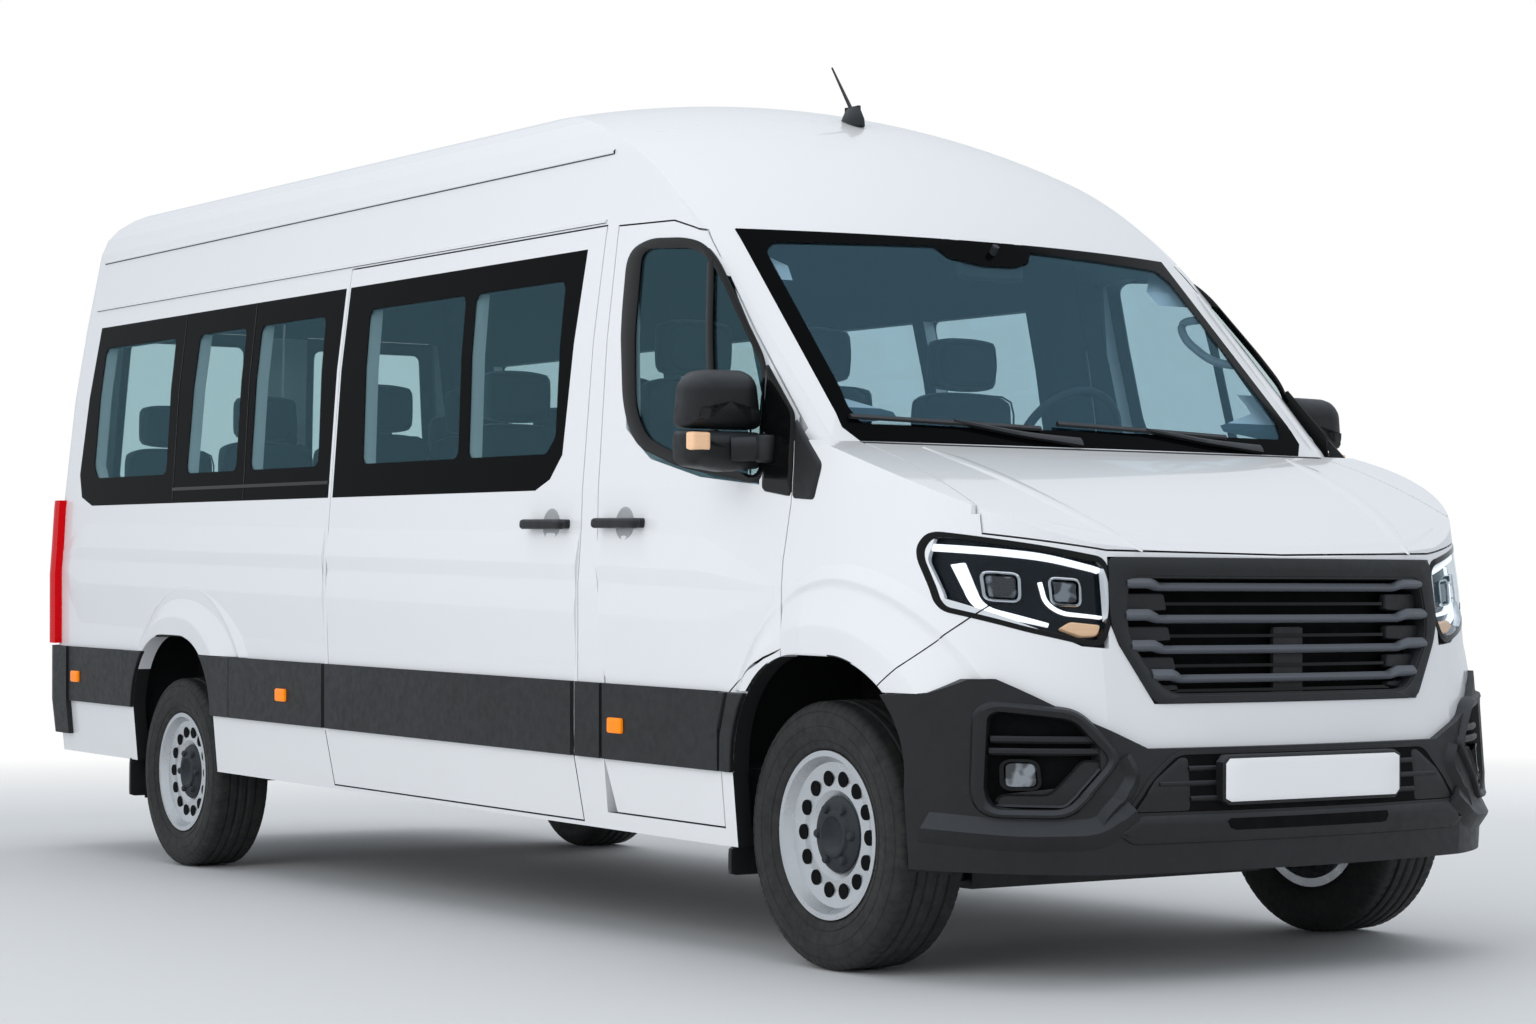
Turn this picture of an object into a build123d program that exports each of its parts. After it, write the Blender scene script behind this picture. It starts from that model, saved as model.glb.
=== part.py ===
from build123d import *

import os
from math import cos, radians, sin

# Minibus: long-wheelbase, high-roof passenger van on single wheels, left-hand drive.
#
# Row frame, millimetres: +X is the vehicle's left, -Y its front, +Z up; the origin is on the
# ground, mid-width and mid-length.  The bodywork is drawn in its own frame, where y is measured
# rearwards from the front axle and z upwards from the ground under that axle; BODY_SET then leans
# it nose-down by RAKE about the front axle, as the empty vehicle stands on its rear springs.
os.makedirs("parts", exist_ok=True)

# ---------------------------------------------------------------- driving dimensions
WHEELBASE = 4300.0
TRACK = 1720.0
TYRE_R = 356.0
RIM_FLANGE_R = 223.0
RAKE = 1.15                   # degrees, nose down
FRONT_END = -836.0            # foremost point of the bumper, body frame
REAR_END = 5680.0             # rearmost point of the rear bumper, body frame
SILL_Z = 292.0
MOULD_LOW = 500.0
MOULD_TOP = 720.0
BELT_Z = 1287.0
GUTTER_Z = 2090.0
ROOF_Z = 2566.0
COWL_Z = 1400.0               # the nose is built below this height and the cabin above it
WALL = 50.0                   # body wall and door thickness
SKIN = 20.0                   # bonnet and wing thickness
GLASS = 5.0
GAP = 5.0                     # shut line between moving panels
FIT = 0.3                     # clearance between touching fixed pieces

FRONT_AXLE_Y = -(FRONT_END + REAR_END) / 2
REAR_AXLE_Z = TYRE_R - WHEELBASE * sin(radians(RAKE))
BODY_SET = Pos(0, FRONT_AXLE_Y, TYRE_R) * Rot(RAKE, 0, 0) * Pos(0, 0, -TYRE_R)
HALF_TRACK = TRACK / 2

# Plan sections of the body: height, half width, y of the nose, y of the tail.
LEVELS = [
    (SILL_Z, 978.0, -800.0, 5560.0),
    (500.0, 998.0, -795.0, 5575.0),
    (1011.0, 1003.0, -730.0, 5575.0),
    (1120.0, 996.0, -716.0, 5575.0),
    (BELT_Z, 988.0, -695.0, 5572.0),
    (1730.0, 945.0, -640.0, 5565.0),
    (2030.0, 900.0, -603.0, 5555.0),
    (2100.0, 888.0, -594.0, 5550.0),
    (2330.0, 850.0, -565.0, 5535.0),
    (2390.0, 829.0, -558.0, 5520.0),
    (2435.0, 798.0, -551.0, 5480.0),
    (2470.0, 755.0, -546.0, 5420.0),
    (2500.0, 690.0, -543.0, 5330.0),
    (2620.0, 480.0, -528.0, 4900.0),
]
NOSE_CORNER_R = 600.0         # plan rounding from the front to the side
NOSE_CORNER_Y = 614.0         # its centre, behind the nose
NOSE_CORNER_START = 19.5      # degrees from straight ahead at which that rounding begins
TAIL_CORNER_R = 110.0

BEND_ANGLES = [radians(NOSE_CORNER_START), radians((NOSE_CORNER_START + 90) / 2), radians(90)]

# Windscreen plane and roof line in side view.
SCREEN_LOW = (37.0, 1393.0)
SCREEN_TOP = (574.0, 2041.0)
SCREEN_CROWN_R = 12000.0
ROOF_CROWN_R = 3300.0
ROOF_FRONT_SLOPE = 44.0
SCREEN_SIDE_X = 985.0
ROOF_SIDE_X = 990.0
PILLAR_R = 110.0              # rounding from the windscreen or the roof's front slope to the side
BONNET_EDGE = (-722.0, 1095.0)
BONNET_MID = (-400.0, 1258.0)
BONNET_REAR_Y = 12.0

# Side-view outlines, (y, z).
FRONT_DOOR = [
    (122, 1240), (148, 1081), (148, 845), (225, 820), (320, 775), (412, 713), (446, 600),
    (446, 342), (1030, 342), (1084, 495), (1077, 718), (1134, 1079), (1200, 2078),
    (882, 2066), (765, 2036), (610, 1990), (500, 1915), (300, 1700), (190, 1570), (140, 1480),
    (126, 1330),
]
FRONT_DOOR_GLASS = [
    (285, 1285), (588, 1312), (867, 1370), (1017, 1462), (1075, 1755), (1098, 1985),
    (946, 1998), (722, 1975), (575, 1875), (360, 1650), (300, 1580),
]
# The windscreen pillar between the glass and the door: limits in front view, depth in side view.
PILLAR_FRONT = [(500, 1395), (932, 1395), (914, 1710), (880, 1990), (868, 2037), (500, 2050)]
PILLAR_SIDE = [(-200, 1395), (165, 1395), (190, 1480), (285, 1565), (420, 1710), (625, 1925),
               (715, 1985), (800, 2050), (-200, 2050)]
FRAME_FOOT_X = 948.0          # the foot of the door's window frame lies outside this
FRAME_FOOT = ((100.0, 172.0), (1390.0, 1500.0))
SLIDING_DOOR = [
    (1222, 305), (1258, 512), (1233, 721), (1232, 1197), (1258, 1886), (1264, 2085),
    (3006, 2085), (2961, 1281), (2966, 1075), (2940, 723), (2965, 492), (2922, 305),
]
# The narrow lip between the front wheel's arch and the front door, down to the sill.
SILL_STRIP = [(150, 500), (391, 500), (391, 294), (470, 294), (470, 713), (150, 845)]
BAND_FRONT = [(1364, 2018), (1378, 1395), (1440, 1322), (1525, 1289), (2945, 1289), (2990, 2018)]
BAND_REAR = [(2978, 1289), (3024, 2018), (5301, 2018), (5337, 1417), (5290, 1325), (5169, 1289)]
PANES = [
    [(1474, 1930), (1430, 1450), (1480, 1400), (1980, 1400), (2053, 1930)],
    [(2119, 1930), (2048, 1400), (2737, 1400), (2815, 1930)],
    [(3160, 1930), (3083, 1400), (3654, 1400), (3700, 1930)],
    [(3832, 1930), (3779, 1400), (4240, 1400), (4264, 1930)],
    [(4495, 1930), (4433, 1400), (5140, 1400), (5190, 1450), (5216, 1930)],
]
ARCH_HALF = 385.0
ARCH_R = 300.0
ARCH_TOP_FRONT = 830.0
ARCH_TOP_REAR = 785.0


# ---------------------------------------------------------------- drawing helpers
def side_prism(points, x_from, x_to, grow=0.0):
    """Side-view outline (y, z) pushed through from x_from to x_to, grown all round by grow."""
    with BuildPart() as prism:
        with BuildSketch(Plane.YZ.offset(x_from)):
            with BuildLine():
                Polyline(*points, close=True)
            make_face()
            if grow:
                offset(amount=grow, kind=Kind.INTERSECTION, mode=Mode.REPLACE)
        extrude(amount=x_to - x_from)
    return prism.part


def front_prism(points, y_from, y_to, grow=0.0):
    """Front-view outline (x, z) pushed through from y_from to y_to."""
    with BuildPart() as prism:
        with BuildSketch(Plane.XZ.offset(-y_from)):
            with BuildLine():
                Polyline(*points, close=True)
            make_face()
            if grow:
                offset(amount=grow, kind=Kind.INTERSECTION, mode=Mode.REPLACE)
        extrude(amount=y_from - y_to)
    return prism.part


def plan_prism(points, z_from, z_to):
    """Plan outline (x, y) pushed up from z_from to z_to."""
    with BuildPart() as prism:
        with BuildSketch(Plane.XY.offset(z_from)):
            with BuildLine():
                Polyline(*points, close=True)
            make_face()
        extrude(amount=z_to - z_from)
    return prism.part


def block(x_range, y_range, z_range):
    """Rectangular block between three pairs of coordinates."""
    x0, x1 = x_range
    y0, y1 = y_range
    z0, z1 = z_range
    return plan_prism([(x0, y0), (x1, y0), (x1, y1), (x0, y1)], z0, z1)


def body_loft(inset):
    """Body sides, nose and tail as a ruled stack of plan sections."""
    with BuildPart() as stack:
        for height, half_w, nose, tail in LEVELS:
            with BuildSketch(Plane.XY.offset(height)):
                side = half_w - inset
                rear = tail - inset
                centre_y = nose + NOSE_CORNER_Y
                bend_r = NOSE_CORNER_R - inset
                bend = [(half_w - NOSE_CORNER_R + bend_r * sin(angle), centre_y - bend_r * cos(angle))
                        for angle in BEND_ANGLES]
                turn = TAIL_CORNER_R * (1 - cos(radians(45)))
                with BuildLine():
                    ThreePointArc((-bend[0][0], bend[0][1]), (0, nose + inset), bend[0])
                    ThreePointArc(*bend)
                    Line(bend[2], (side, rear - TAIL_CORNER_R))
                    ThreePointArc((side, rear - TAIL_CORNER_R), (side - turn, rear - turn),
                                  (side - TAIL_CORNER_R, rear))
                    Line((side - TAIL_CORNER_R, rear), (TAIL_CORNER_R - side, rear))
                    ThreePointArc((TAIL_CORNER_R - side, rear), (turn - side, rear - turn),
                                  (-side, rear - TAIL_CORNER_R))
                    Line((-side, rear - TAIL_CORNER_R), (-bend[2][0], bend[2][1]))
                    ThreePointArc(*[(-x, y) for x, y in reversed(bend)])
                make_face()
        loft(ruled=True)
    return stack.part


def crown_profile(plane, crown_r, side_x, inset, depth):
    """Arched section across the vehicle: a flat crown, rounded shoulders, straight sides."""
    side = side_x - inset
    shoulder = side - PILLAR_R
    drop = crown_r - (crown_r ** 2 - shoulder ** 2) ** 0.5
    turn = PILLAR_R * (1 - cos(radians(45)))
    with BuildSketch(plane) as section:
        with BuildLine():
            ThreePointArc((-shoulder, -drop - inset), (0, -inset), (shoulder, -drop - inset))
            ThreePointArc((shoulder, -drop - inset), (side - turn, -drop - turn - inset),
                          (side, -drop - PILLAR_R - inset))
            Line((side, -drop - PILLAR_R - inset), (side, -depth))
            Line((side, -depth), (-side, -depth))
            Line((-side, -depth), (-side, -drop - PILLAR_R - inset))
            ThreePointArc((-side, -drop - PILLAR_R - inset), (turn - side, -drop - turn - inset),
                          (-shoulder, -drop - inset))
        make_face()
    return section.sketch


def screen_prism(inset):
    """Everything behind the windscreen's curved plane."""
    rise = Vector(0, SCREEN_TOP[0] - SCREEN_LOW[0], SCREEN_TOP[1] - SCREEN_LOW[1])
    plane = Plane(origin=(0, *SCREEN_LOW), x_dir=(1, 0, 0), z_dir=-rise)
    section = crown_profile(plane, SCREEN_CROWN_R, SCREEN_SIDE_X, inset, 7000)
    with BuildPart() as prism:
        extrude(section, amount=6500, both=True)
    return prism.part


def roof_sweep(inset):
    """Everything under the roof line: a slope over the windscreen, an arc, the level roof."""
    slope = radians(ROOF_FRONT_SLOPE)
    arc_r = (ROOF_Z - SCREEN_TOP[1]) / (1 - cos(slope))
    level_y = SCREEN_TOP[0] + arc_r * sin(slope)
    half = slope / 2
    mid = (level_y - arc_r * sin(half), ROOF_Z - arc_r * (1 - cos(half)))
    low = (SCREEN_TOP[0] - 1500 * cos(slope), SCREEN_TOP[1] - 1500 * sin(slope))
    start = Plane(origin=(0, *low), x_dir=(1, 0, 0), z_dir=(0, -cos(slope), -sin(slope)))
    section = crown_profile(start, ROOF_CROWN_R, ROOF_SIDE_X, inset, 1500)
    with BuildPart() as roof:
        with BuildLine(Plane.YZ) as path:
            Line(low, SCREEN_TOP)
            ThreePointArc(SCREEN_TOP, mid, (level_y, ROOF_Z))
            Line((level_y, ROOF_Z), (6200, ROOF_Z))
        sweep(sections=section, path=path.wires()[0])
    return roof.part


def envelope(inset):
    """The closed outer form of the whole body, or its inside at a given wall thickness."""
    roof = roof_sweep(inset)
    screen = screen_prism(inset)
    edge_y, edge_z = BONNET_EDGE
    with BuildPart() as limits:
        add(roof)
        add(screen, mode=Mode.INTERSECT)
        add(block((-1100, 1100), (-500, 6100), (COWL_Z, 2700)), mode=Mode.INTERSECT)
        with BuildSketch(Plane.YZ.offset(-1100)):
            with BuildLine():
                ThreePointArc((edge_y - 20, edge_z - 12 - inset),
                              (BONNET_MID[0], BONNET_MID[1] - inset),
                              (SCREEN_LOW[0] + inset, COWL_Z - inset / 4))
                Polyline((SCREEN_LOW[0] + inset, COWL_Z - inset / 4), (SCREEN_LOW[0] + 60, COWL_Z),
                         (6100, COWL_Z), (6100, 0), (-1000, 0), (-1000, edge_z - 12 - inset),
                         (edge_y - 20, edge_z - 12 - inset))
            make_face()
        extrude(amount=2200)
    with BuildPart() as form:
        add(body_loft(inset))
        add(limits.part, mode=Mode.INTERSECT)
    return form.part


def pillar_zone(sign, grow=0.0):
    """The part of the cab's corner which belongs to the windscreen pillar on one side."""
    edge = [(sign * x, z) for x, z in PILLAR_FRONT]
    with BuildPart() as zone:
        add(front_prism(edge, -250, 950, grow=grow))
        add(side_prism(PILLAR_SIDE, sign * IN_X * 0.8, sign * OUT_X), mode=Mode.INTERSECT)
    return zone.part


def door_form(sign, grow=0.0):
    """Everything inside the front door's outline on one side, less the pillar beside it.

    Inside the shut line the foot of the door's window frame is cut back, so that it swings past
    the foot of the pillar."""
    with BuildPart() as form:
        add(side_prism(FRONT_DOOR, sign * IN_X, sign * OUT_X, grow=grow))
        add(pillar_zone(sign, -grow), mode=Mode.SUBTRACT)
        if grow:
            add(block(sorted((sign * IN_X * 0.8, sign * FRAME_FOOT_X)), *FRAME_FOOT), mode=Mode.SUBTRACT)
    return form.part


def shell(outer_form, inner_form):
    """What lies between two nested forms."""
    with BuildPart() as skin:
        add(outer_form)
        add(inner_form, mode=Mode.SUBTRACT)
    return skin.part


def arch_prism(axle_y, top, x_from, x_to, grow=0.0):
    """Wheel arch opening: a tall rounded gateway round one wheel."""
    width = 2 * (ARCH_HALF + grow)
    height = top + grow
    with BuildPart() as arch:
        with BuildSketch(Plane.YZ.offset(x_from)) as gate:
            with Locations((axle_y, height / 2)):
                Rectangle(width, height)
            fillet(gate.vertices().group_by(Axis.Z)[-1], radius=ARCH_R)
        extrude(amount=x_to - x_from)
    return arch.part


def mirrored(outline):
    """The same front-view or plan outline on the other side of the vehicle."""
    return [(-x, second) for x, second in outline]


def keep(piece, name, raked=True):
    """Label a finished piece, set it on the leaning body if it belongs there, and write it."""
    done = BODY_SET * piece if raked else piece
    done.label = name
    export_step(done, f"parts/{name}.step")
    print(name, len(done.solids()), round(done.volume / 1e6, 2))


SIDES = (("right", -1), ("left", 1))
OUT_X = 1150.0                # beyond the widest panel
IN_X = 600.0                  # well inside the side walls

# ---------------------------------------------------------------- nested forms
outer = envelope(0)
glass_inner = envelope(GLASS)
glass_seat = envelope(GLASS + FIT)
skin_inner = envelope(SKIN)
wall_inner = envelope(WALL)
wall_shell = shell(outer, wall_inner)
skin_shell = shell(outer, skin_inner)
glass_shell = shell(outer, glass_inner)
seat_shell = shell(outer, glass_seat)

# ---------------------------------------------------------------- regions shared by neighbours
SCREEN_EDGE = [(-800, 1404), (800, 1404), (835, 1440), (800, 2030), (-800, 2030), (-835, 1440)]
REAR_DOOR_X = 862.0
REAR_DOOR_LOW = 500.0
REAR_DOOR_TOP = 2330.0
REAR_GLASS = [(-770, 1340), (-110, 1340), (-110, 2040), (-720, 2040)]
REAR_FROM = 5430.0
REAR_DOOR = [(0, REAR_DOOR_LOW), (REAR_DOOR_X, REAR_DOOR_LOW), (REAR_DOOR_X, 1330), (805, 2060),
             (745, REAR_DOOR_TOP),
             (0, REAR_DOOR_TOP)]
LAMP = [(-580, 1090), (-580, 862), (-650, 868), (-905, 985), (-975, 1120), (-960, 1165), (-840, 1142)]
LAMP_DEPTH = 60.0
LAMP_REACH_Y = -250.0
GRILLE = [(-567, 1094), (-575, 930), (-553, 871), (-461, 722), (461, 722), (553, 871), (575, 930),
          (567, 1094)]
BAR_SPAN = [(-530, 1060), (-538, 930), (-515, 875), (-440, 752), (440, 752), (515, 875), (538, 930),
            (530, 1060)]
BAR_Z = [(752, 790), (822, 862), (895, 935), (968, 1008)]
BAR_SLOT = 26.0
NOSE_JOIN_Y = -480.0
BONNET = [(-835, 1148), (-567, 1108), (0, 1100), (567, 1108), (835, 1148), (835, 1500), (-835, 1500)]
BUMPER = [(-1100, 300), (1100, 300), (1100, 720), (950, 748), (892, 784), (845, 786), (700, 700),
          (504, 612), (-504, 612), (-700, 700), (-845, 786), (-892, 784), (-950, 748), (-1100, 720)]
BUMPER_PROUD = 22.0
BUMPER_WALL = 60.0
VENT = [(310, 589), (423, 589), (571, 452), (310, 452)]
FOG_RECESS = [(640, 540), (640, 640), (690, 705), (870, 712), (880, 470), (700, 452)]
FOG_DEPTH = 35.0
PLATE_HALF = 300.0
PLATE_Z = (475.0, 587.0)
TAIL_LAMP_Z = (730.0, 1315.0)
TAIL_LAMP_Y = 5455.0
CAB_SEAM_Y = 1260.0
COWL_X = 835.0
COWL_GAP = 8.0                # room for the bonnet's rear edge as it tips

screen_region = front_prism(SCREEN_EDGE, -300, 900)
rear_door_region = front_prism(REAR_DOOR[1:-1] + mirrored(REAR_DOOR[-2:0:-1]), REAR_FROM, 6000)
grille_region = front_prism(GRILLE, -1000, -450)
bumper_region = front_prism(BUMPER, -1000, -300)
bonnet_region = front_prism(BONNET, -1000, BONNET_REAR_Y)
lamp_regions = [front_prism(LAMP, -1000, LAMP_REACH_Y), front_prism(mirrored(LAMP), -1000, LAMP_REACH_Y)]
band_regions = [side_prism(band, x_from, x_from + OUT_X - IN_X) for band in (BAND_FRONT, BAND_REAR)
                for x_from in (-OUT_X, IN_X)]
pane_cuts = [side_prism(pane, -OUT_X, OUT_X) for pane in PANES]
arch_cuts = [arch_prism(0, ARCH_TOP_FRONT, sign * 500, sign * OUT_X) for side, sign in SIDES]
arch_cuts += [arch_prism(WHEELBASE, ARCH_TOP_REAR, sign * 500, sign * OUT_X) for side, sign in SIDES]
door_regions = {side: door_form(sign) for side, sign in SIDES}
sliding_region = side_prism(SLIDING_DOOR, -OUT_X, -IN_X)
lamp_x = REAR_DOOR_X + GAP
tail_lamp_regions = [block((sign * lamp_x, sign * OUT_X) if sign > 0 else (-OUT_X, -lamp_x),
                           (TAIL_LAMP_Y, 6000), TAIL_LAMP_Z) for side, sign in SIDES]

# ---------------------------------------------------------------- side walls and roof
for side, sign in SIDES:
    x_span = (IN_X, OUT_X) if sign > 0 else (-OUT_X, -IN_X)
    with BuildPart() as side_panel:
        add(wall_shell)
        add(block(x_span, (452, 6000), (SILL_Z + 1, GUTTER_Z)), mode=Mode.INTERSECT)
        add(block(x_span, (0, 1084), (342, 2100)), mode=Mode.SUBTRACT)
        add(door_regions[side], mode=Mode.SUBTRACT)
        add(rear_door_region, mode=Mode.SUBTRACT)
        add(arch_cuts[2] if sign < 0 else arch_cuts[3], mode=Mode.SUBTRACT)
        add(tail_lamp_regions[0 if sign < 0 else 1], mode=Mode.SUBTRACT)
        for region in band_regions:
            add(seat_shell.intersect(region), mode=Mode.SUBTRACT)
        for cut in pane_cuts:
            add(cut, mode=Mode.SUBTRACT)
        if side == "right":
            add(sliding_region, mode=Mode.SUBTRACT)
        add(wall_shell.intersect(side_prism(SILL_STRIP, sign * IN_X, sign * OUT_X)))
        for tool in (arch_cuts[0 if sign < 0 else 1], door_regions[side]):
            add(tool, mode=Mode.SUBTRACT)
    keep(side_panel.part, f"side_panel_{side}")

with BuildPart() as sliding_door:
    add(wall_shell)
    add(side_prism(SLIDING_DOOR, -OUT_X, -IN_X, grow=-GAP), mode=Mode.INTERSECT)
    for region in band_regions:
        add(seat_shell.intersect(region), mode=Mode.SUBTRACT)
    for cut in pane_cuts:
        add(cut, mode=Mode.SUBTRACT)
keep(sliding_door.part, "sliding_door")

with BuildPart() as cab_roof:
    add(wall_shell)
    add(block((-OUT_X, OUT_X), (300, CAB_SEAM_Y), (SCREEN_TOP[1] - 8, 2700)), mode=Mode.INTERSECT)
    add(block((-OUT_X, OUT_X), (1084, 1300), (1900, GUTTER_Z)), mode=Mode.SUBTRACT)
    add(screen_region, mode=Mode.SUBTRACT)
    for side, sign in SIDES:
        add(door_regions[side], mode=Mode.SUBTRACT)
keep(cab_roof.part, "cab_roof")

with BuildPart() as main_roof:
    add(wall_shell)
    add(block((-OUT_X, OUT_X), (CAB_SEAM_Y, 6000), (GUTTER_Z, 2700)), mode=Mode.INTERSECT)
    add(rear_door_region, mode=Mode.SUBTRACT)
keep(main_roof.part, "main_roof")

with BuildPart() as pillars:
    add(wall_shell)
    add(block((-OUT_X, OUT_X), (-100, 1084), (COWL_Z, SCREEN_TOP[1] - 8)), mode=Mode.INTERSECT)
    add(screen_region, mode=Mode.SUBTRACT)
    for side, sign in SIDES:
        add(door_regions[side], mode=Mode.SUBTRACT)
keep(pillars.part, "windscreen_pillars")

with BuildPart() as windscreen:
    add(glass_shell)
    add(front_prism(SCREEN_EDGE, -300, 900, grow=-FIT), mode=Mode.INTERSECT)
    add(block((-OUT_X, OUT_X), (-300, 900), (COWL_Z + 2, 2100)), mode=Mode.INTERSECT)
keep(windscreen.part, "windscreen")

with BuildPart() as side_windows:
    for region in [side_prism(band, x_from, x_from + OUT_X - IN_X, grow=-FIT)
                   for band in (BAND_FRONT, BAND_REAR) for x_from in (-OUT_X, IN_X)]:
        add(glass_shell.intersect(region))
keep(side_windows.part, "side_windows")

# ---------------------------------------------------------------- doors
for side, sign in SIDES:
    x0, x1 = sign * IN_X, sign * OUT_X
    glass_hole = side_prism(FRONT_DOOR_GLASS, x0, x1)
    with BuildPart() as door:
        add(wall_shell)
        add(door_form(sign, -GAP), mode=Mode.INTERSECT)
        add(glass_hole, mode=Mode.SUBTRACT)
    keep(door.part, f"front_door_{side}")
    with BuildPart() as door_glass:
        add(glass_shell)
        add(side_prism(FRONT_DOOR_GLASS, x0, x1, grow=-FIT), mode=Mode.INTERSECT)
        add(pillar_zone(sign, GAP), mode=Mode.SUBTRACT)
    keep(door_glass.part, f"front_door_glass_{side}")
    with BuildPart() as rear_door:
        add(wall_shell)
        leaf = [(sign * max(x, 0), z) for x, z in REAR_DOOR]
        add(front_prism(leaf, REAR_FROM, 6000, grow=-GAP), mode=Mode.INTERSECT)
        outline = mirrored(REAR_GLASS) if sign > 0 else REAR_GLASS
        add(front_prism(outline, REAR_FROM, 6000), mode=Mode.SUBTRACT)
    keep(rear_door.part, f"rear_door_{side}")
    with BuildPart() as rear_glass:
        add(glass_shell)
        add(front_prism(outline, REAR_FROM, 6000, grow=-FIT), mode=Mode.INTERSECT)
    keep(rear_glass.part, f"rear_glass_{side}")

# ---------------------------------------------------------------- nose
with BuildPart() as bonnet:
    add(skin_shell)
    add(front_prism(BONNET, -1000, BONNET_REAR_Y, grow=-GAP), mode=Mode.INTERSECT)
    add(block((-OUT_X, OUT_X), (-1000, BONNET_REAR_Y), (1000, COWL_Z + 50)), mode=Mode.INTERSECT)
keep(bonnet.part, "bonnet")

with BuildPart() as wings:
    add(skin_shell)
    add(block((-OUT_X, OUT_X), (NOSE_JOIN_Y, 400), (SILL_Z + 1, COWL_Z - FIT)), mode=Mode.INTERSECT)
    add(block((-IN_X, IN_X), (NOSE_JOIN_Y, 400), (200, 1500)), mode=Mode.SUBTRACT)
    add(bonnet_region, mode=Mode.SUBTRACT)
    add(bumper_region, mode=Mode.SUBTRACT)
    add(block((-COWL_X, COWL_X), (BONNET_REAR_Y - 10, 400), (1200, 1500)), mode=Mode.SUBTRACT)
    add(block((-OUT_X, OUT_X), (0, 500), (200, ARCH_TOP_FRONT)), mode=Mode.SUBTRACT)
    for tool in lamp_regions + arch_cuts[:2] + list(door_regions.values()):
        add(tool, mode=Mode.SUBTRACT)
    add(block((-OUT_X, OUT_X), (148, 500), (200, 1100)), mode=Mode.SUBTRACT)
keep(wings.part, "front_wings")

with BuildPart() as cowl:
    add(skin_shell)
    add(block((FIT - COWL_X, COWL_X - FIT), (BONNET_REAR_Y + COWL_GAP, 104), (1250, COWL_Z - FIT)),
        mode=Mode.INTERSECT)
keep(cowl.part, "cowl")

with BuildPart() as nose_panel:
    add(skin_shell)
    add(block((-OUT_X, OUT_X), (-1000, NOSE_JOIN_Y), (600, 1200)), mode=Mode.INTERSECT)
    for tool in lamp_regions + [bonnet_region, bumper_region, grille_region]:
        add(tool, mode=Mode.SUBTRACT)
keep(nose_panel.part, "nose_panel")

with BuildPart() as grille:
    add(skin_shell)
    add(front_prism(GRILLE, -1000, -450, grow=-FIT), mode=Mode.INTERSECT)
    slots = [(low - BAR_SLOT, low) for low, high in BAR_Z[1:]] + [(BAR_Z[-1][1], BAR_Z[-1][1] + BAR_SLOT)]
    opening = front_prism(BAR_SPAN, -1000, -450)
    for low, high in slots:
        slot = opening.intersect(block((-IN_X, IN_X), (-1000, -450), (low, high)))
        add(slot, mode=Mode.SUBTRACT)
keep(grille.part, "grille")

with BuildPart() as headlamps:
    add(outer)
    add(envelope(LAMP_DEPTH), mode=Mode.SUBTRACT)
    lamp_tools = [front_prism(edge, -1000, LAMP_REACH_Y - FIT, grow=-FIT)
                  for edge in (LAMP, mirrored(LAMP))]
    add(lamp_tools, mode=Mode.INTERSECT)
keep(headlamps.part, "headlamps")

bumper_outer = body_loft(-BUMPER_PROUD)
bumper_inner = body_loft(BUMPER_WALL)
with BuildPart() as front_bumper:
    add(bumper_outer)
    add(bumper_inner, mode=Mode.SUBTRACT)
    add(front_prism(BUMPER, -1000, -300, grow=-FIT), mode=Mode.INTERSECT)
    for tool in arch_cuts[:2]:
        add(tool, mode=Mode.SUBTRACT)
    for edge in (VENT, mirrored(VENT)):
        add(front_prism(edge, -1000, -500), mode=Mode.SUBTRACT)
    recess = body_loft(-BUMPER_PROUD + FOG_DEPTH)
    for edge in (FOG_RECESS, mirrored(FOG_RECESS)):
        pocket = front_prism(edge, -1000, -400)
        add(shell(pocket, recess), mode=Mode.SUBTRACT)
keep(front_bumper.part, "front_bumper")

with BuildPart() as number_plates:
    plate_y = FRONT_END
    holder_y = LEVELS[1][2] - BUMPER_PROUD
    add(block((-PLATE_HALF, PLATE_HALF), (plate_y, holder_y + 20), PLATE_Z))
    add(bumper_outer, mode=Mode.SUBTRACT)
keep(number_plates.part, "number_plate")

with BuildPart() as tail_lamps:
    add(body_loft(-30))
    add(wall_inner, mode=Mode.SUBTRACT)
    lamp_blocks = [block((sign * lamp_x, sign * OUT_X) if sign > 0 else (-OUT_X, -lamp_x),
                         (TAIL_LAMP_Y + FIT, 6000), (TAIL_LAMP_Z[0] + FIT, TAIL_LAMP_Z[1] - FIT))
                   for side, sign in SIDES]
    add(lamp_blocks, mode=Mode.INTERSECT)
keep(tail_lamps.part, "tail_lamps")

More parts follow.
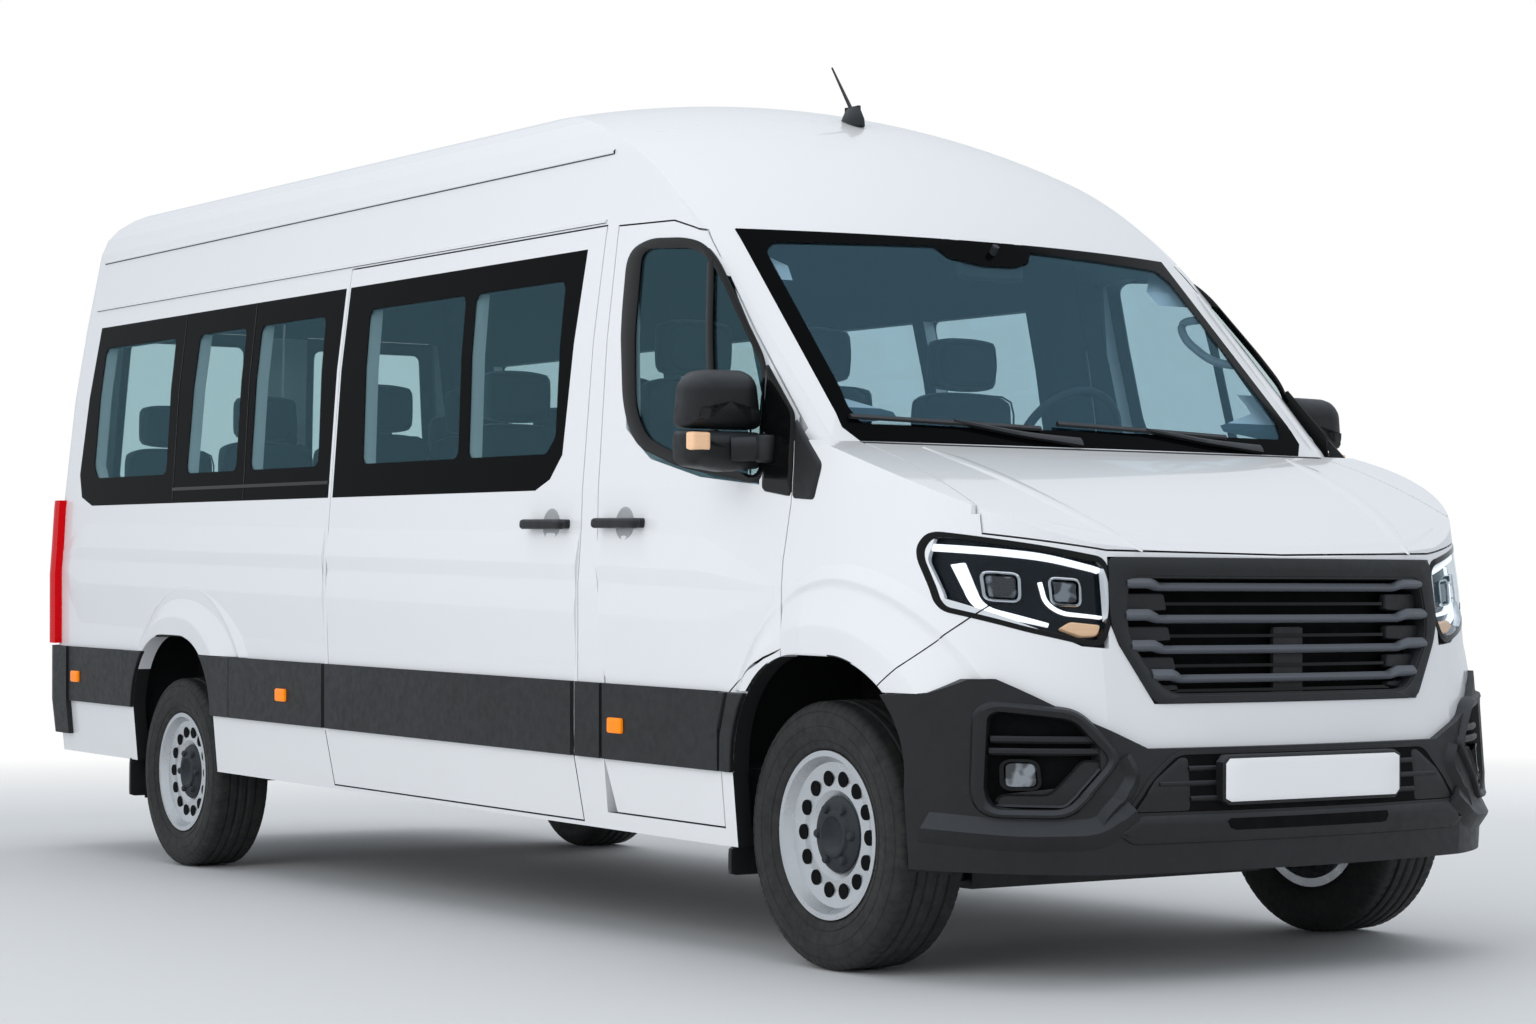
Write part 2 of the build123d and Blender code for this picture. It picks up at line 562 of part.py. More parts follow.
REAR_BUMPER_Y = 5350.0
RAIL_X = (395.0, 475.0)
RAIL_Z = 365.0
RAIL_END = 5450.0
STEP_Z = (365.0, 488.0)
STEP_X = 880.0
STEP_Y = 5540.0
with BuildPart() as rear_bumper:
    add(body_loft(-BUMPER_PROUD))
    add(body_loft(-FIT), mode=Mode.SUBTRACT)
    add(block((-OUT_X, OUT_X), (REAR_BUMPER_Y, 6000), (STEP_Z[0], MOULD_TOP)), mode=Mode.INTERSECT)
    add(block((-REAR_DOOR_X, REAR_DOOR_X), (5000, 6000), (REAR_DOOR_LOW, 900)), mode=Mode.SUBTRACT)
    with BuildSketch(Plane.XY.offset(STEP_Z[0])):
        with BuildLine():
            Polyline((-STEP_X, STEP_Y + 90), (STEP_X, STEP_Y + 90), (STEP_X - 30, REAR_END),
                     (30 - STEP_X, REAR_END), close=True)
        make_face()
    extrude(amount=STEP_Z[1] - STEP_Z[0])
    add(block((-STEP_X + 60, STEP_X - 60), (5578, REAR_END - 30), (STEP_Z[0] + 20, STEP_Z[1] - 20)))
    for side, sign in SIDES:
        add(block(sorted((sign * RAIL_X[0], sign * RAIL_X[1])), (RAIL_END, REAR_END - 30), (RAIL_Z, 418)))
keep(rear_bumper.part, "rear_bumper")

# Rubbing strips along the sides, proud of the panels.
MOULD_PROUD = 14.0
mould_form = shell(body_loft(-MOULD_PROUD), body_loft(-FIT))
MOULD_SPANS = [("right", 1084 + GAP, 1232), ("right", 1258, 2940), ("right", 2966, 3746),
               ("right", 4760, REAR_BUMPER_Y - FIT), ("left", 1084 + GAP, 3746),
               ("left", 4760, REAR_BUMPER_Y - FIT)]
with BuildPart() as mouldings:
    for side, y0, y1 in MOULD_SPANS:
        sign = dict(SIDES)[side]
        x_span = (IN_X, OUT_X) if sign > 0 else (-OUT_X, -IN_X)
        add(mould_form.intersect(block(x_span, (y0, y1), (MOULD_LOW, MOULD_TOP))))
keep(mouldings.part, "side_mouldings")
for side, sign in SIDES:
    x_span = (IN_X, OUT_X) if sign > 0 else (-OUT_X, -IN_X)
    with BuildPart() as door_moulding:
        add(mould_form)
        add(block(x_span, (450, 1072), (MOULD_LOW, MOULD_TOP)), mode=Mode.INTERSECT)
    keep(door_moulding.part, f"door_moulding_{side}")

# ---------------------------------------------------------------- mirrors, wipers, aerial
MIRROR_X = (1010.0, 1205.0)
MIRROR_Y = (285.0, 400.0)
MIRROR_Z = (1330.0, 1600.0)
ARM_Z = (1345.0, 1415.0)
for side, sign in SIDES:
    with BuildPart() as mirror:
        with BuildSketch(Plane.XY.offset(MIRROR_Z[0])) as foot:
            with Locations((sign * sum(MIRROR_X) / 2, sum(MIRROR_Y) / 2)):
                RectangleRounded(MIRROR_X[1] - MIRROR_X[0], MIRROR_Y[1] - MIRROR_Y[0], 40)
        extrude(amount=MIRROR_Z[1] - MIRROR_Z[0], taper=3)
        add(block(sorted((sign * 940, sign * (MIRROR_X[0] + 30))), (225, 275), ARM_Z))
        add(block(sorted((sign * 985, sign * (MIRROR_X[0] + 60))), (225, 330), ARM_Z))
        add(outer, mode=Mode.SUBTRACT)
    keep(mirror.part, f"mirror_{side}")

WIPER_PROUD = 16.0
wiper_layer = shell(screen_prism(-WIPER_PROUD), screen_prism(-FIT))
WIPERS = [[(-800, 1462), (-300, 1440), (-290, 1428), (-60, 1412), (-60, 1402), (-300, 1418), (-800, 1450)],
          [(-120, 1466), (420, 1438), (620, 1412), (620, 1402), (420, 1420), (-120, 1454)]]
with BuildPart() as wipers:
    for outline in WIPERS:
        add(wiper_layer.intersect(front_prism(outline, -200, 400)))
keep(wipers.part, "wipers")

AERIAL_Y = 1270.0
AERIAL_LEAN = 35.0
with BuildPart() as aerial:
    add(block((-28, 28), (AERIAL_Y - 60, AERIAL_Y + 60), (2420, 2525)))
    add(roof_sweep(-FIT), mode=Mode.SUBTRACT)
    rod = Plane(origin=(0, AERIAL_Y + 10, 2515), x_dir=(1, 0, 0),
                z_dir=(0, sin(radians(AERIAL_LEAN)), cos(radians(AERIAL_LEAN))))
    with BuildSketch(rod):
        Circle(4)
    extrude(amount=175)
keep(aerial.part, "aerial")

# ---------------------------------------------------------------- floor, cab and seats
FLOOR_Z = (420.0, 460.0)
FLOOR_X = 935.0
HORN_Y = -560.0               # front ends of the chassis rails, ahead of the bulkhead
HORN_Z = (540.0, 600.0)
REAR_SILL_X = 820.0
FOOT_X = 540.0
BULKHEAD_Y = (105.0, 125.0)
BULKHEAD_TOP = 1310.0
FOOT_TOP = 850.0
REAR_WELL = (3885.0, 4735.0, 806.0)   # y from, y to, height
HOUSE_T = 20.0                # thickness of the front wheel housings and the bulkhead
HOUSE_Y = 450.0               # rear face of the front wheel housings
HOUSE_X = 925.0


def span(sign, low, high):
    """Limits in x of something from low to high on one side."""
    return sorted((sign * low, sign * high))


with BuildPart() as floor:
    add(block((-FLOOR_X, FLOOR_X), (HOUSE_Y + FIT, 5380), FLOOR_Z))
    add(block((-REAR_SILL_X, REAR_SILL_X), (5300, 5508), FLOOR_Z))
    for side, sign in SIDES:
        add(block(span(sign, 690, FLOOR_X), (REAR_WELL[0] - 20, REAR_WELL[1] + 20),
                  (FLOOR_Z[0], REAR_WELL[2])))
        add(block(span(sign, 710, FLOOR_X + 50), (REAR_WELL[0], REAR_WELL[1]), (0, REAR_WELL[2] - 20)),
            mode=Mode.SUBTRACT)
        add(block(span(sign, *RAIL_X), (250, RAIL_END), (RAIL_Z, FLOOR_Z[0])))
keep(floor.part, "floor")

# Bulkhead, toe board and front wheel housings: flat panels which meet at their edges.
house_low = (FLOOR_Z[0] + FIT, FOOT_TOP - FIT)
house_in = FOOT_X - HOUSE_T
with BuildPart() as bulkhead:
    add(block((FIT - house_in, house_in - FIT), BULKHEAD_Y, house_low))
    add(block((-HOUSE_X, HOUSE_X), BULKHEAD_Y, (FOOT_TOP + HOUSE_T + FIT, BULKHEAD_TOP)))
    add(block((FIT - house_in, house_in - FIT), BULKHEAD_Y, (FOOT_TOP, FOOT_TOP + HOUSE_T)))
    add(block((FIT - house_in, house_in - FIT), (BULKHEAD_Y[1] + FIT, HOUSE_Y),
              (FLOOR_Z[0] + FIT, FLOOR_Z[1])))
    for side, sign in SIDES:
        add(block(span(sign, house_in, HOUSE_X), (BULKHEAD_Y[0], HOUSE_Y), (FOOT_TOP, FOOT_TOP + HOUSE_T)))
        add(block(span(sign, house_in, FOOT_X), (BULKHEAD_Y[0], HOUSE_Y), house_low))
        add(block(span(sign, FOOT_X + FIT, HOUSE_X), (HOUSE_Y - HOUSE_T, HOUSE_Y), house_low))
        add(block(span(sign, *RAIL_X), (HORN_Y, BULKHEAD_Y[0] - FIT), HORN_Z))
keep(bulkhead.part, "bulkhead")

DASH = [(125 + FIT, 1010), (125 + FIT, 1290), (330, 1330), (480, 1270), (470, 1080), (380, 1000)]
DASH_X = 880.0
WHEEL_AT = (430.0, 690.0, 1430.0)
COLUMN_TILT = 62.0            # degrees of the steering column from vertical
COLUMN_L = 330.0
COLUMN_GAP = 0.5
tilt = radians(COLUMN_TILT)
column = Plane(origin=WHEEL_AT, x_dir=(1, 0, 0), z_dir=(0, sin(tilt), cos(tilt)))
with BuildPart() as dashboard:
    add(side_prism(DASH, -DASH_X, DASH_X))
    with BuildSketch(column.offset(-COLUMN_L)):
        Circle(34)
    extrude(amount=COLUMN_L - COLUMN_GAP)
keep(dashboard.part, "dashboard")

# Seats: x of the middle, y of the backrest's foot, for every place.
FRONT_ROW = [(430.0, 1200.0), (-650.0, 1110.0), (-210.0, 1110.0)]
FRONT_RISE = 100.0            # the cab seats stand higher than the rows behind
ROW_Y = [2200.0, 3200.0, 4180.0]
ROW_X = (-660.0, -265.0, 650.0)
LAST_ROW_Y = 5120.0
LAST_ROW_X = (-660.0, -220.0, 220.0, 660.0)
SEAT_W = 390.0
CUSHION_Z = (835.0, 960.0)
CUSHION_L = 440.0
BACK_T = 105.0
BACK_TOP = 1535.0
HEAD_TOP = 1700.0
HEAD_HALF = 125.0
FRAME_T = 26.0
places = [(x, y, FRONT_RISE) for x, y in FRONT_ROW]
places += [(x, y, 0.0) for y in ROW_Y for x in ROW_X]
places += [(x, LAST_ROW_Y, 0.0) for x in LAST_ROW_X]
with BuildPart() as cushions:
    for x, y, rise in places:
        half = SEAT_W / 2
        add(block((x - half, x + half), (y - CUSHION_L, y - 1),
                  (CUSHION_Z[0] + rise, CUSHION_Z[1] + rise)))
keep(cushions.part, "seat_cushions")
with BuildPart() as backs:
    for x, y, rise in places:
        half = SEAT_W / 2
        add(block((x - half, x + half), (y, y + BACK_T), (CUSHION_Z[0] + rise, BACK_TOP + rise)))
keep(backs.part, "seat_backs")
with BuildPart() as heads:
    for x, y, rise in places:
        add(block((x - HEAD_HALF, x + HEAD_HALF), (y + 5, y + BACK_T - 5),
                  (BACK_TOP + rise + FIT, HEAD_TOP + rise)))
keep(heads.part, "headrests")
with BuildPart() as frames:
    for x, y, rise in places:
        top = CUSHION_Z[0] + rise - FIT
        outboard = 1 if x > 0 else -1
        add(block((x - 180, x + 180), (y - CUSHION_L + 20, y + BACK_T - 10), (top - FRAME_T, top)))
        for inward in (150, 20) if abs(x) > 600 else (150, -120):
            leg_x = x - outboard * inward
            add(block((leg_x - 15, leg_x + 15), (y - 330, y + 40), (FLOOR_Z[1], top - FRAME_T)))
keep(frames.part, "seat_frames")

# ---------------------------------------------------------------- running gear under the body
ENGINE_X = 330.0
with BuildPart() as engine:
    add(block((-ENGINE_X, ENGINE_X), (-520, 60), (400, 900)))
    for side, sign in SIDES:
        add(block(sorted((sign * ENGINE_X, sign * (RAIL_X[0] - FIT))), (-300, -200), (545, 595)))
keep(engine.part, "engine")
with BuildPart() as tank:
    add(block((-380, 380), (1700, 2500), (230, RAIL_Z - 5)))
    add(block((-380, 380), (2000, 2040), (RAIL_Z - 5, FLOOR_Z[0])))
keep(tank.part, "fuel_tank")

KING_X = 790.0
SPINDLE_R = 30.0
BORE_GAP = 0.05
PIN_R = 14.0
EYE_R = 30.0
ARM_LEVELS = ((TYRE_R - 140, TYRE_R - 110), (TYRE_R + 110, TYRE_R + 140))
with BuildPart() as front_suspension:
    add(block((-520, 520), (-60, 60), (TYRE_R - 160, TYRE_R - 60)))
    add(block((-520, 520), (-60, 60), (TYRE_R + 60, TYRE_R + 160)))
    for side, sign in SIDES:
        add(block(sorted((sign * 400, sign * 520)), (-60, 60), (TYRE_R - 60, TYRE_R + 60)))
        add(block(sorted((sign * 400, sign * 470)), (-60, 60), (TYRE_R + 100, HORN_Z[0] - 1.5)))
        for low, high in ARM_LEVELS:
            add(block(sorted((sign * 500, sign * KING_X)), (-25, 25), (low, high)))
            with BuildSketch(Plane.XY.offset(low)):
                with Locations((sign * KING_X, 0)):
                    Circle(EYE_R)
            extrude(amount=high - low)
            with BuildSketch(Plane.XY.offset(low)):
                with Locations((sign * KING_X, 0)):
                    Circle(PIN_R + BORE_GAP)
            extrude(amount=high - low, mode=Mode.SUBTRACT)
    add(block((-330, 330), (-60, 60), (TYRE_R + 40, TYRE_R + 200)), mode=Mode.SUBTRACT)
keep(Pos(0, FRONT_AXLE_Y, 0) * front_suspension.part, "front_suspension", raked=False)

for side, sign in SIDES:
    with BuildPart() as knuckle:
        with BuildSketch(Plane.XY.offset(TYRE_R - 108)):
            with Locations((sign * KING_X, 0)):
                Circle(24)
        extrude(amount=216)
        with BuildSketch(Plane.XY.offset(TYRE_R - 138)):
            with Locations((sign * KING_X, 0)):
                Circle(PIN_R)
        extrude(amount=276)
        with BuildSketch(Plane.YZ.offset(sign * KING_X)):
            with Locations((0, TYRE_R)):
                Circle(SPINDLE_R)
        extrude(amount=sign * 90)
    keep(Pos(0, FRONT_AXLE_Y, 0) * knuckle.part, f"knuckle_{side}", raked=False)

REAR_AXLE_Y = WHEELBASE * cos(radians(RAKE))
SPRING_X = (405.0, 465.0)
SPRING_HALF = 560.0
with BuildPart() as rear_axle:
    for half, radius in ((740, 45), (880, SPINDLE_R)):
        with BuildSketch(Plane.YZ.offset(-half)):
            with Locations((REAR_AXLE_Y, REAR_AXLE_Z)):
                Circle(radius)
        extrude(amount=2 * half)
    for side, sign in SIDES:
        add(block(sorted((sign * SPRING_X[0], sign * SPRING_X[1])),
                  (REAR_AXLE_Y - SPRING_HALF, REAR_AXLE_Y + SPRING_HALF),
                  (REAR_AXLE_Z + 40, RAIL_Z - FIT)))
keep(rear_axle.part, "rear_axle")

# ---------------------------------------------------------------- wheels
TYRE_SECTION = [(-90, RIM_FLANGE_R + FIT), (-108, 262), (-112.5, 300), (-100, 340), (-84, TYRE_R),
                (84, TYRE_R),
                (100, 340), (112.5, 300), (108, 262), (90, RIM_FLANGE_R + FIT)]
RIM_SECTION = [(-96, 223), (-88, 223), (-88, 206), (60, 206), (88, 216), (88, 223), (96, 223), (96, 208),
               (70, 192), (62, 150), (66, 118), (44, 86), (44, SPINDLE_R + BORE_GAP),
               (-26, SPINDLE_R + BORE_GAP), (-26, 48), (24, 48), (30, 90), (52, 122), (48, 160),
               (46, 198), (-96, 198)]
VENT_COUNT = 14
VENT_R = 17.0
VENT_PITCH_R = 146.0
WHEELS = [("front_right", -1, 0.0), ("front_left", 1, 0.0),
          ("rear_right", -1, WHEELBASE), ("rear_left", 1, WHEELBASE)]
for place, sign, along in WHEELS:
    spot = Pos(0, FRONT_AXLE_Y + along, 0)
    hub = Plane(origin=(sign * HALF_TRACK, 0, TYRE_R), x_dir=(sign, 0, 0), z_dir=(0, -1, 0))
    with BuildPart() as tyre:
        with BuildSketch(hub):
            with BuildLine():
                Polyline(*TYRE_SECTION, close=True)
            make_face()
        revolve(axis=Axis((0, 0, TYRE_R), (1, 0, 0)), revolution_arc=360)
    keep(spot * tyre.part, f"tyre_{place}", raked=False)
    with BuildPart() as rim:
        with BuildSketch(hub):
            with BuildLine():
                Polyline(*RIM_SECTION, close=True)
            make_face()
        revolve(axis=Axis((0, 0, TYRE_R), (1, 0, 0)), revolution_arc=360)
        with BuildSketch(Plane.YZ.offset(sign * (HALF_TRACK + 10))):
            with Locations((0, TYRE_R)):
                with PolarLocations(VENT_PITCH_R, VENT_COUNT):
                    Circle(VENT_R)
        extrude(amount=sign * 100, mode=Mode.SUBTRACT)
    keep(spot * rim.part, f"rim_{place}", raked=False)

# Mud flaps behind each wheel.
with BuildPart() as flaps:
    for side, sign in SIDES:
        add(block(sorted((sign * 740, sign * 920)), (422, 430), (215, 520)))
        add(block(sorted((sign * 740, sign * 920)), (4745, 4753), (140, FLOOR_Z[0])))
keep(flaps.part, "mud_flaps")

# Steering wheel at the head of its column.
with BuildPart() as steering_wheel:
    with BuildSketch(column):
        Circle(195)
        Circle(172, mode=Mode.SUBTRACT)
        Rectangle(370, 40)
        Circle(55)
    extrude(amount=24)
keep(steering_wheel.part, "steering_wheel")
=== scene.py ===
import math

import bmesh
import bpy
import numpy as np
from mathutils import Matrix, Vector


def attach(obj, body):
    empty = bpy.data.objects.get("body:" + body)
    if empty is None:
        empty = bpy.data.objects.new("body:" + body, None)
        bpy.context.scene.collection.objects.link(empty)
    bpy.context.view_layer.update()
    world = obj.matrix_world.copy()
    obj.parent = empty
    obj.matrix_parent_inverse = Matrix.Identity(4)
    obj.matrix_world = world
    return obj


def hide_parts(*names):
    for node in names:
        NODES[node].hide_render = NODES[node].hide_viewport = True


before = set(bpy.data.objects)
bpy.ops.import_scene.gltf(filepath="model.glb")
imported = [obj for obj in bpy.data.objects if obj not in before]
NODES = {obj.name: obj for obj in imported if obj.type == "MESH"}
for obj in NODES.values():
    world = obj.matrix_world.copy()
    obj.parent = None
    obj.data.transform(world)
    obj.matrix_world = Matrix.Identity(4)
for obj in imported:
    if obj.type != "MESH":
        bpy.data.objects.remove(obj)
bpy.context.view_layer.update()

bl_info = {
    "name": "Minibus",
    "version": (1, 0, 0),
    "blender": (4, 5, 0),
    "location": "View3D > Sidebar > Minibus",
    "description": "Dresses the packed minibus with paint, glass, trim, tyres, seats and studio light",
    "category": "Object",
}

# ------------------------------------------------------------------ frames
# The bodywork is drawn in millimetres in its own frame: y rearwards from the front axle, z up
# from the ground there.  It leans nose-down about the front axle into the row frame.
RAKE = math.radians(1.15)
TYRE_R = 356.0
AXLE_Y = -2422.0
WHEELBASE = 4300.0
COS_R, SIN_R = math.cos(RAKE), math.sin(RAKE)

# Height, half width and y of the nose of the body's plan sections, as in the CAD model.
LEVEL_Z = np.array([292, 500, 1011, 1120, 1287, 1730, 2030, 2100, 2330, 2390, 2435, 2470, 2500, 2620], float)
LEVEL_X = np.array([978, 998, 1003, 996, 988, 945, 900, 888, 850, 829, 798, 755, 690, 480], float)
LEVEL_NOSE = np.array([-800, -795, -730, -716, -695, -640, -603, -594, -565, -558, -551, -546, -543, -528],
                      float)
LEVEL_TAIL = np.array([5560, 5575, 5575, 5575, 5572, 5565, 5555, 5550, 5535, 5520, 5480, 5420, 5330, 4900],
                      float)
CORNER_R = 600.0
CORNER_Y = 614.0
CORNER_JOIN = math.radians(19.5)    # where the corner arc of the nose meets its wide middle arc
BUMPER_PROUD = 22.0
BONNET_ARC = ((-742.0, 1083.0), (-400.0, 1258.0), (37.0, 1400.0))
SCREEN_LEAN = (648.0, 537.0)        # rise and run of the windscreen
SCREEN_FOOT = (37.0, 1393.0)        # its y and z at the cowl
BROW_SLOPE = math.radians(44.0)
BROW_FOOT = (574.0, 2041.0)         # y and z where the roof's front slope begins
PLATE_Y = -832.0
GLASS_THICK = 5.0

# Wheel arches: the opening's top, its edge's corner radius and half width, and the flare round it.
ARCH_TOPS = (830.0, 785.0)
ARCH_CORNER = 300.0
ARCH_HALF = 385.0
FLARE_CURVES = (((-545, 724), (-31, 1008), (362, 724)), ((3705, 722), (4178, 952), (4618, 722)))
FLARE_PROFILE = ((0.0, 0.03, 0.43, 0.47, 0.98, 1.02, 1.12, 1.34),
                 (9.0, 12.0, 22.0, 21.0, 0.6, 0.6, 9.0, -0.8))
FLARE_REACH = 1.34                  # how far the profile runs, in parts of the way to the curve
FLARE_SEAT = 0.4                    # height of relief over the panel where it would lie in it
HIDDEN = -0.8                       # height of an edge that dips behind the panel
DOOR_EDGE_Y = (146, 150)            # end of the wing's flare and start of the sill's, at the door
DOOR_GAP = 5.5
DARK_EDGE = ((3, 15.0), (0, 12.0), (0, -2.0))
DOOR_FOOT = ((147, 845), (225, 820), (320, 775), (412, 713), (446, 600))
DARK_TOP = 720
DARK_FOOT = 500.0
WING_SEAM = [(-545, 975), (-409, 855), (-279, 760)]
MUD_FLAPS = ((418, 434, 215, 292), (4741, 4757, 150, 300))  # y from and to, foot, corner's height

# Waistlines: the crease's y and z, its fade along y; then for each piece its side, y from and to,
# and how far the line leans with height at each end.
WAIST_PATH = ((190, 1253, 5490), (995, 1019, 1078))
WAIST_FADE = ((190, 560, 5250, 5480), (0.0, 1.0, 1.0, 0.0))
WAISTLINES = (("front_door_right", -1, 190, 1114, 0.0, 0.15), ("front_door_left", 1, 190, 1114, 0.0, 0.15),
              ("sliding_door", -1, 1243, 2946, 0.0, 0.07), ("quarter_right", -1, 2978, 5480, 0.07, 0.0),
              ("quarter_left", 1, 1160, 5480, 0.0, 0.0))
SIDES = (("right", -1), ("left", 1))
WHEELS = (("front_right", -1, 0.0), ("front_left", 1, 0.0), ("rear_right", -1, WHEELBASE),
          ("rear_left", 1, WHEELBASE))

# Side view (y, z) of the glass, its trim and the roof's lines.  Each band of side glass has a front
# and a rear edge, each with its heights and its y there.
SIDE_GLASS_Z = np.concatenate([np.linspace(1289.5, 1396, 7), np.linspace(1404, 1926, 30),
                               np.linspace(1934, 2017.5, 6)])
FRONT_BAND = (((1289, 1322, 1395, 2018), (1525, 1440, 1378, 1364)), ((1289, 2018), (2945, 2990)))
REAR_BAND = (((1289, 2018), (2978, 3024)), ((1289, 1325, 1417, 2018), (5169, 5290, 5337, 5301)))
PANES = [[(1474, 1930), (1430, 1450), (1480, 1400), (1980, 1400), (2053, 1930)],
         [(2119, 1930), (2048, 1400), (2737, 1400), (2815, 1930)],
         [(3160, 1930), (3083, 1400), (3654, 1400), (3700, 1930)],
         [(3832, 1930), (3779, 1400), (4240, 1400), (4264, 1930)],
         [(4495, 1930), (4433, 1400), (5140, 1400), (5190, 1450), (5216, 1930)]]
DOOR_GLASS = [(286, 1286), (588, 1313), (866, 1371), (1016, 1463), (1074, 1755), (1097, 1984),
              (946, 1997), (722, 1974), (575, 1874), (361, 1650), (301, 1580)]
SEAL_OUTER = [(262, 1282), (706, 1342), (958, 1412), (1046, 1524), (1106, 1785), (1126, 1990),
              (1010, 2022), (810, 2008), (702, 1984), (611, 1927), (400, 1720), (296, 1612)]
SEAL_INNER = [(284, 1304), (690, 1372), (895, 1432), (974, 1522), (1018, 1755), (1038, 1972),
              (1000, 1990), (760, 1972), (672, 1940), (600, 1886), (400, 1690), (312, 1600)]
WINDOW_BAR = [(524, 1330), (650, 1928)]
GLASS_SEAMS = ((3690, 3769), (4346, 4415))
GLASS_RAIL = [(2985, 1342), (4350, 1342)]
SAIL_DOOR = [(304, 1622), (268, 1268), (126, 1250), (129, 1330), (143, 1474)]
SAIL_BODY = [(136, 1462), (-10, 1335), (-4, 1308), (18, 1240), (119, 1246), (122, 1330)]
ROOF_RIB = ((1290, 2310), (5380, 2294))
GUTTER = ((1275, 2096.0), (5380, 2096.0))
# Plan-view lines (x, y) on the bonnet: one side, and whole.
BONNET_RIDGE = ((470, -700), (560, -480), (660, -20))
BONNET_LIP = [(-700, -560), (-520, -642), (0, -668), (520, -642), (700, -560)]
# Windscreen and rear glass: edges (heights and x there), and outlines (x, z) of the clear parts and
# of the patch behind the sensor.
SCREEN_EDGE = ((1402, 1440, 2032), (798, 833, 799))
REAR_EDGES = (((1340, 2040), (110.5, 110.5)), ((1340, 2040), (769.5, 719.5)))
SCREEN_CLEAR = [(-770, 1452), (770, 1452), (784, 1500), (752, 1962), (715, 1992), (0, 2010),
                (-715, 1992), (-752, 1962), (-784, 1500)]
SENSOR_PATCH = [(-235, 2040), (170, 2040), (122, 1972), (60, 1955), (-60, 1952), (-175, 1972)]
REAR_CLEAR = [(165, 1400), (715, 1400), (672, 1985), (165, 1985)]
# Front view (x, z) of the front's parts: right side, which the left mirrors, or whole.
LAMP_OUTER = [(-574, 1092), (-556, 1030), (-562, 942), (-592, 876), (-624, 866), (-765, 902), (-910, 952),
              (-922, 975), (-938, 1085), (-936, 1120), (-918, 1158), (-840, 1143), (-719, 1121)]
LAMP_INNER = [(-584, 1077), (-568, 1028), (-576, 946), (-602, 890), (-626, 881), (-765, 916), (-903, 964),
              (-911, 980), (-927, 1085), (-925, 1112), (-910, 1143), (-836, 1127), (-716, 1106)]
LAMP_FILLER = [(-979, 1124), (-963, 1169), (-905, 1158), (-924, 1083), (-905, 985), (-915, 975)]
LAMP_BROW = [(-918, 1116), (-830, 1108), (-720, 1094), (-588, 1060)]
LAMP_ELBOW = [(-884, 1076), (-858, 960), (-720, 922)]
LAMP_HOOK = [(-732, 1030), (-724, 978), (-690, 952), (-588, 942)]
LAMP_TAPER = ((1.0, 1.0, 0.8), (1.0, 0.8, 0.45))
LAMP_EYES = ((-810, 1018, 36, 38), (-676, 1006, 36, 36))
LAMP_TURN = [(-700, 912), (-672, 930), (-594, 922), (-610, 894), (-650, 892)]
GRILLE_OUTER = [(-566, 1093), (-574, 930), (-552, 871), (-461, 723), (461, 723), (552, 871), (574, 930),
                (566, 1093)]
GRILLE_INNER = [(-515, 1046), (-532, 930), (-518, 868), (-448, 768), (-405, 742), (405, 742), (448, 768),
                (518, 868), (532, 930), (515, 1046)]
GRILLE_BARS = ((1020, 518), (938, 528), (860, 518), (786, 462))
GRILLE_WIRES = ((978, 450), (896, 446), (820, 430), (757, 400))
GRILLE_VANES = ((952, 1004, 518, 386), (875, 920, 524, 380), (800, 843, 488, 372), (750, 772, 440, 368))
FOG_INNER = [(-846, 690), (-832, 703), (-684, 682), (-652, 636), (-608, 584), (-712, 464), (-846, 464),
             (-860, 500)]
FOG_OUTER = [(-874, 702), (-848, 733), (-676, 712), (-622, 654), (-580, 584), (-700, 438), (-862, 440),
             (-886, 490)]
FOG_BARS = ((634, 846, 640), (604, 850, 625))
FOG_LENS = [(-826, 578), (-768, 578), (-766, 516), (-828, 514)]
FOG_SHELF = [(-846, 470), (-838, 500), (-745, 500), (-672, 585), (-614, 582), (-712, 468)]
CREASES = ([(-938, 412), (-800, 398), (-640, 402), (-560, 462)],
           [(-575, 590), (-548, 540), (-628, 440), (-640, 402)])
INTAKE = [(-420, 592), (440, 592), (568, 452), (-568, 452), (-500, 530)]
INTAKE_SLATS = [(-412, 586), (-390, 584), (-392, 455), (-552, 455), (-490, 532)]
INTAKE_BARS = ((521, 480), (558, 390), (485, 390))
SKID_LIP = [(-604, 402), (-540, 447), (540, 447), (604, 402), (560, 372), (-560, 372)]
SKID_RECESS = [(-285, 432), (285, 432), (268, 402), (-268, 402)]
PLATE = [(-303, 476), (303, 476), (303, 585), (-303, 585)]
GRILLE_BLOCK = [(-56, 722), (51, 722), (75, 920), (-34, 920)]
# Door mirrors: y of the head's middle plane, outlines (x outwards, z) and the arm (x outwards, y, z).
MIRROR_Y = 342
MIRROR_UPPER = [(1190, 1562), (1150, 1594), (1008, 1596), (976, 1566), (958, 1436), (1202, 1436)]
MIRROR_LOWER = [(958, 1430), (956, 1330), (1060, 1318), (1182, 1332), (1202, 1352), (1202, 1430)]
MIRROR_LAMP = [(1140, 1374), (1199, 1374), (1199, 1424), (1140, 1424)]
MIRROR_ARM = ((1070, 300, 1380), (1010, 265, 1382), (962, 250, 1382))
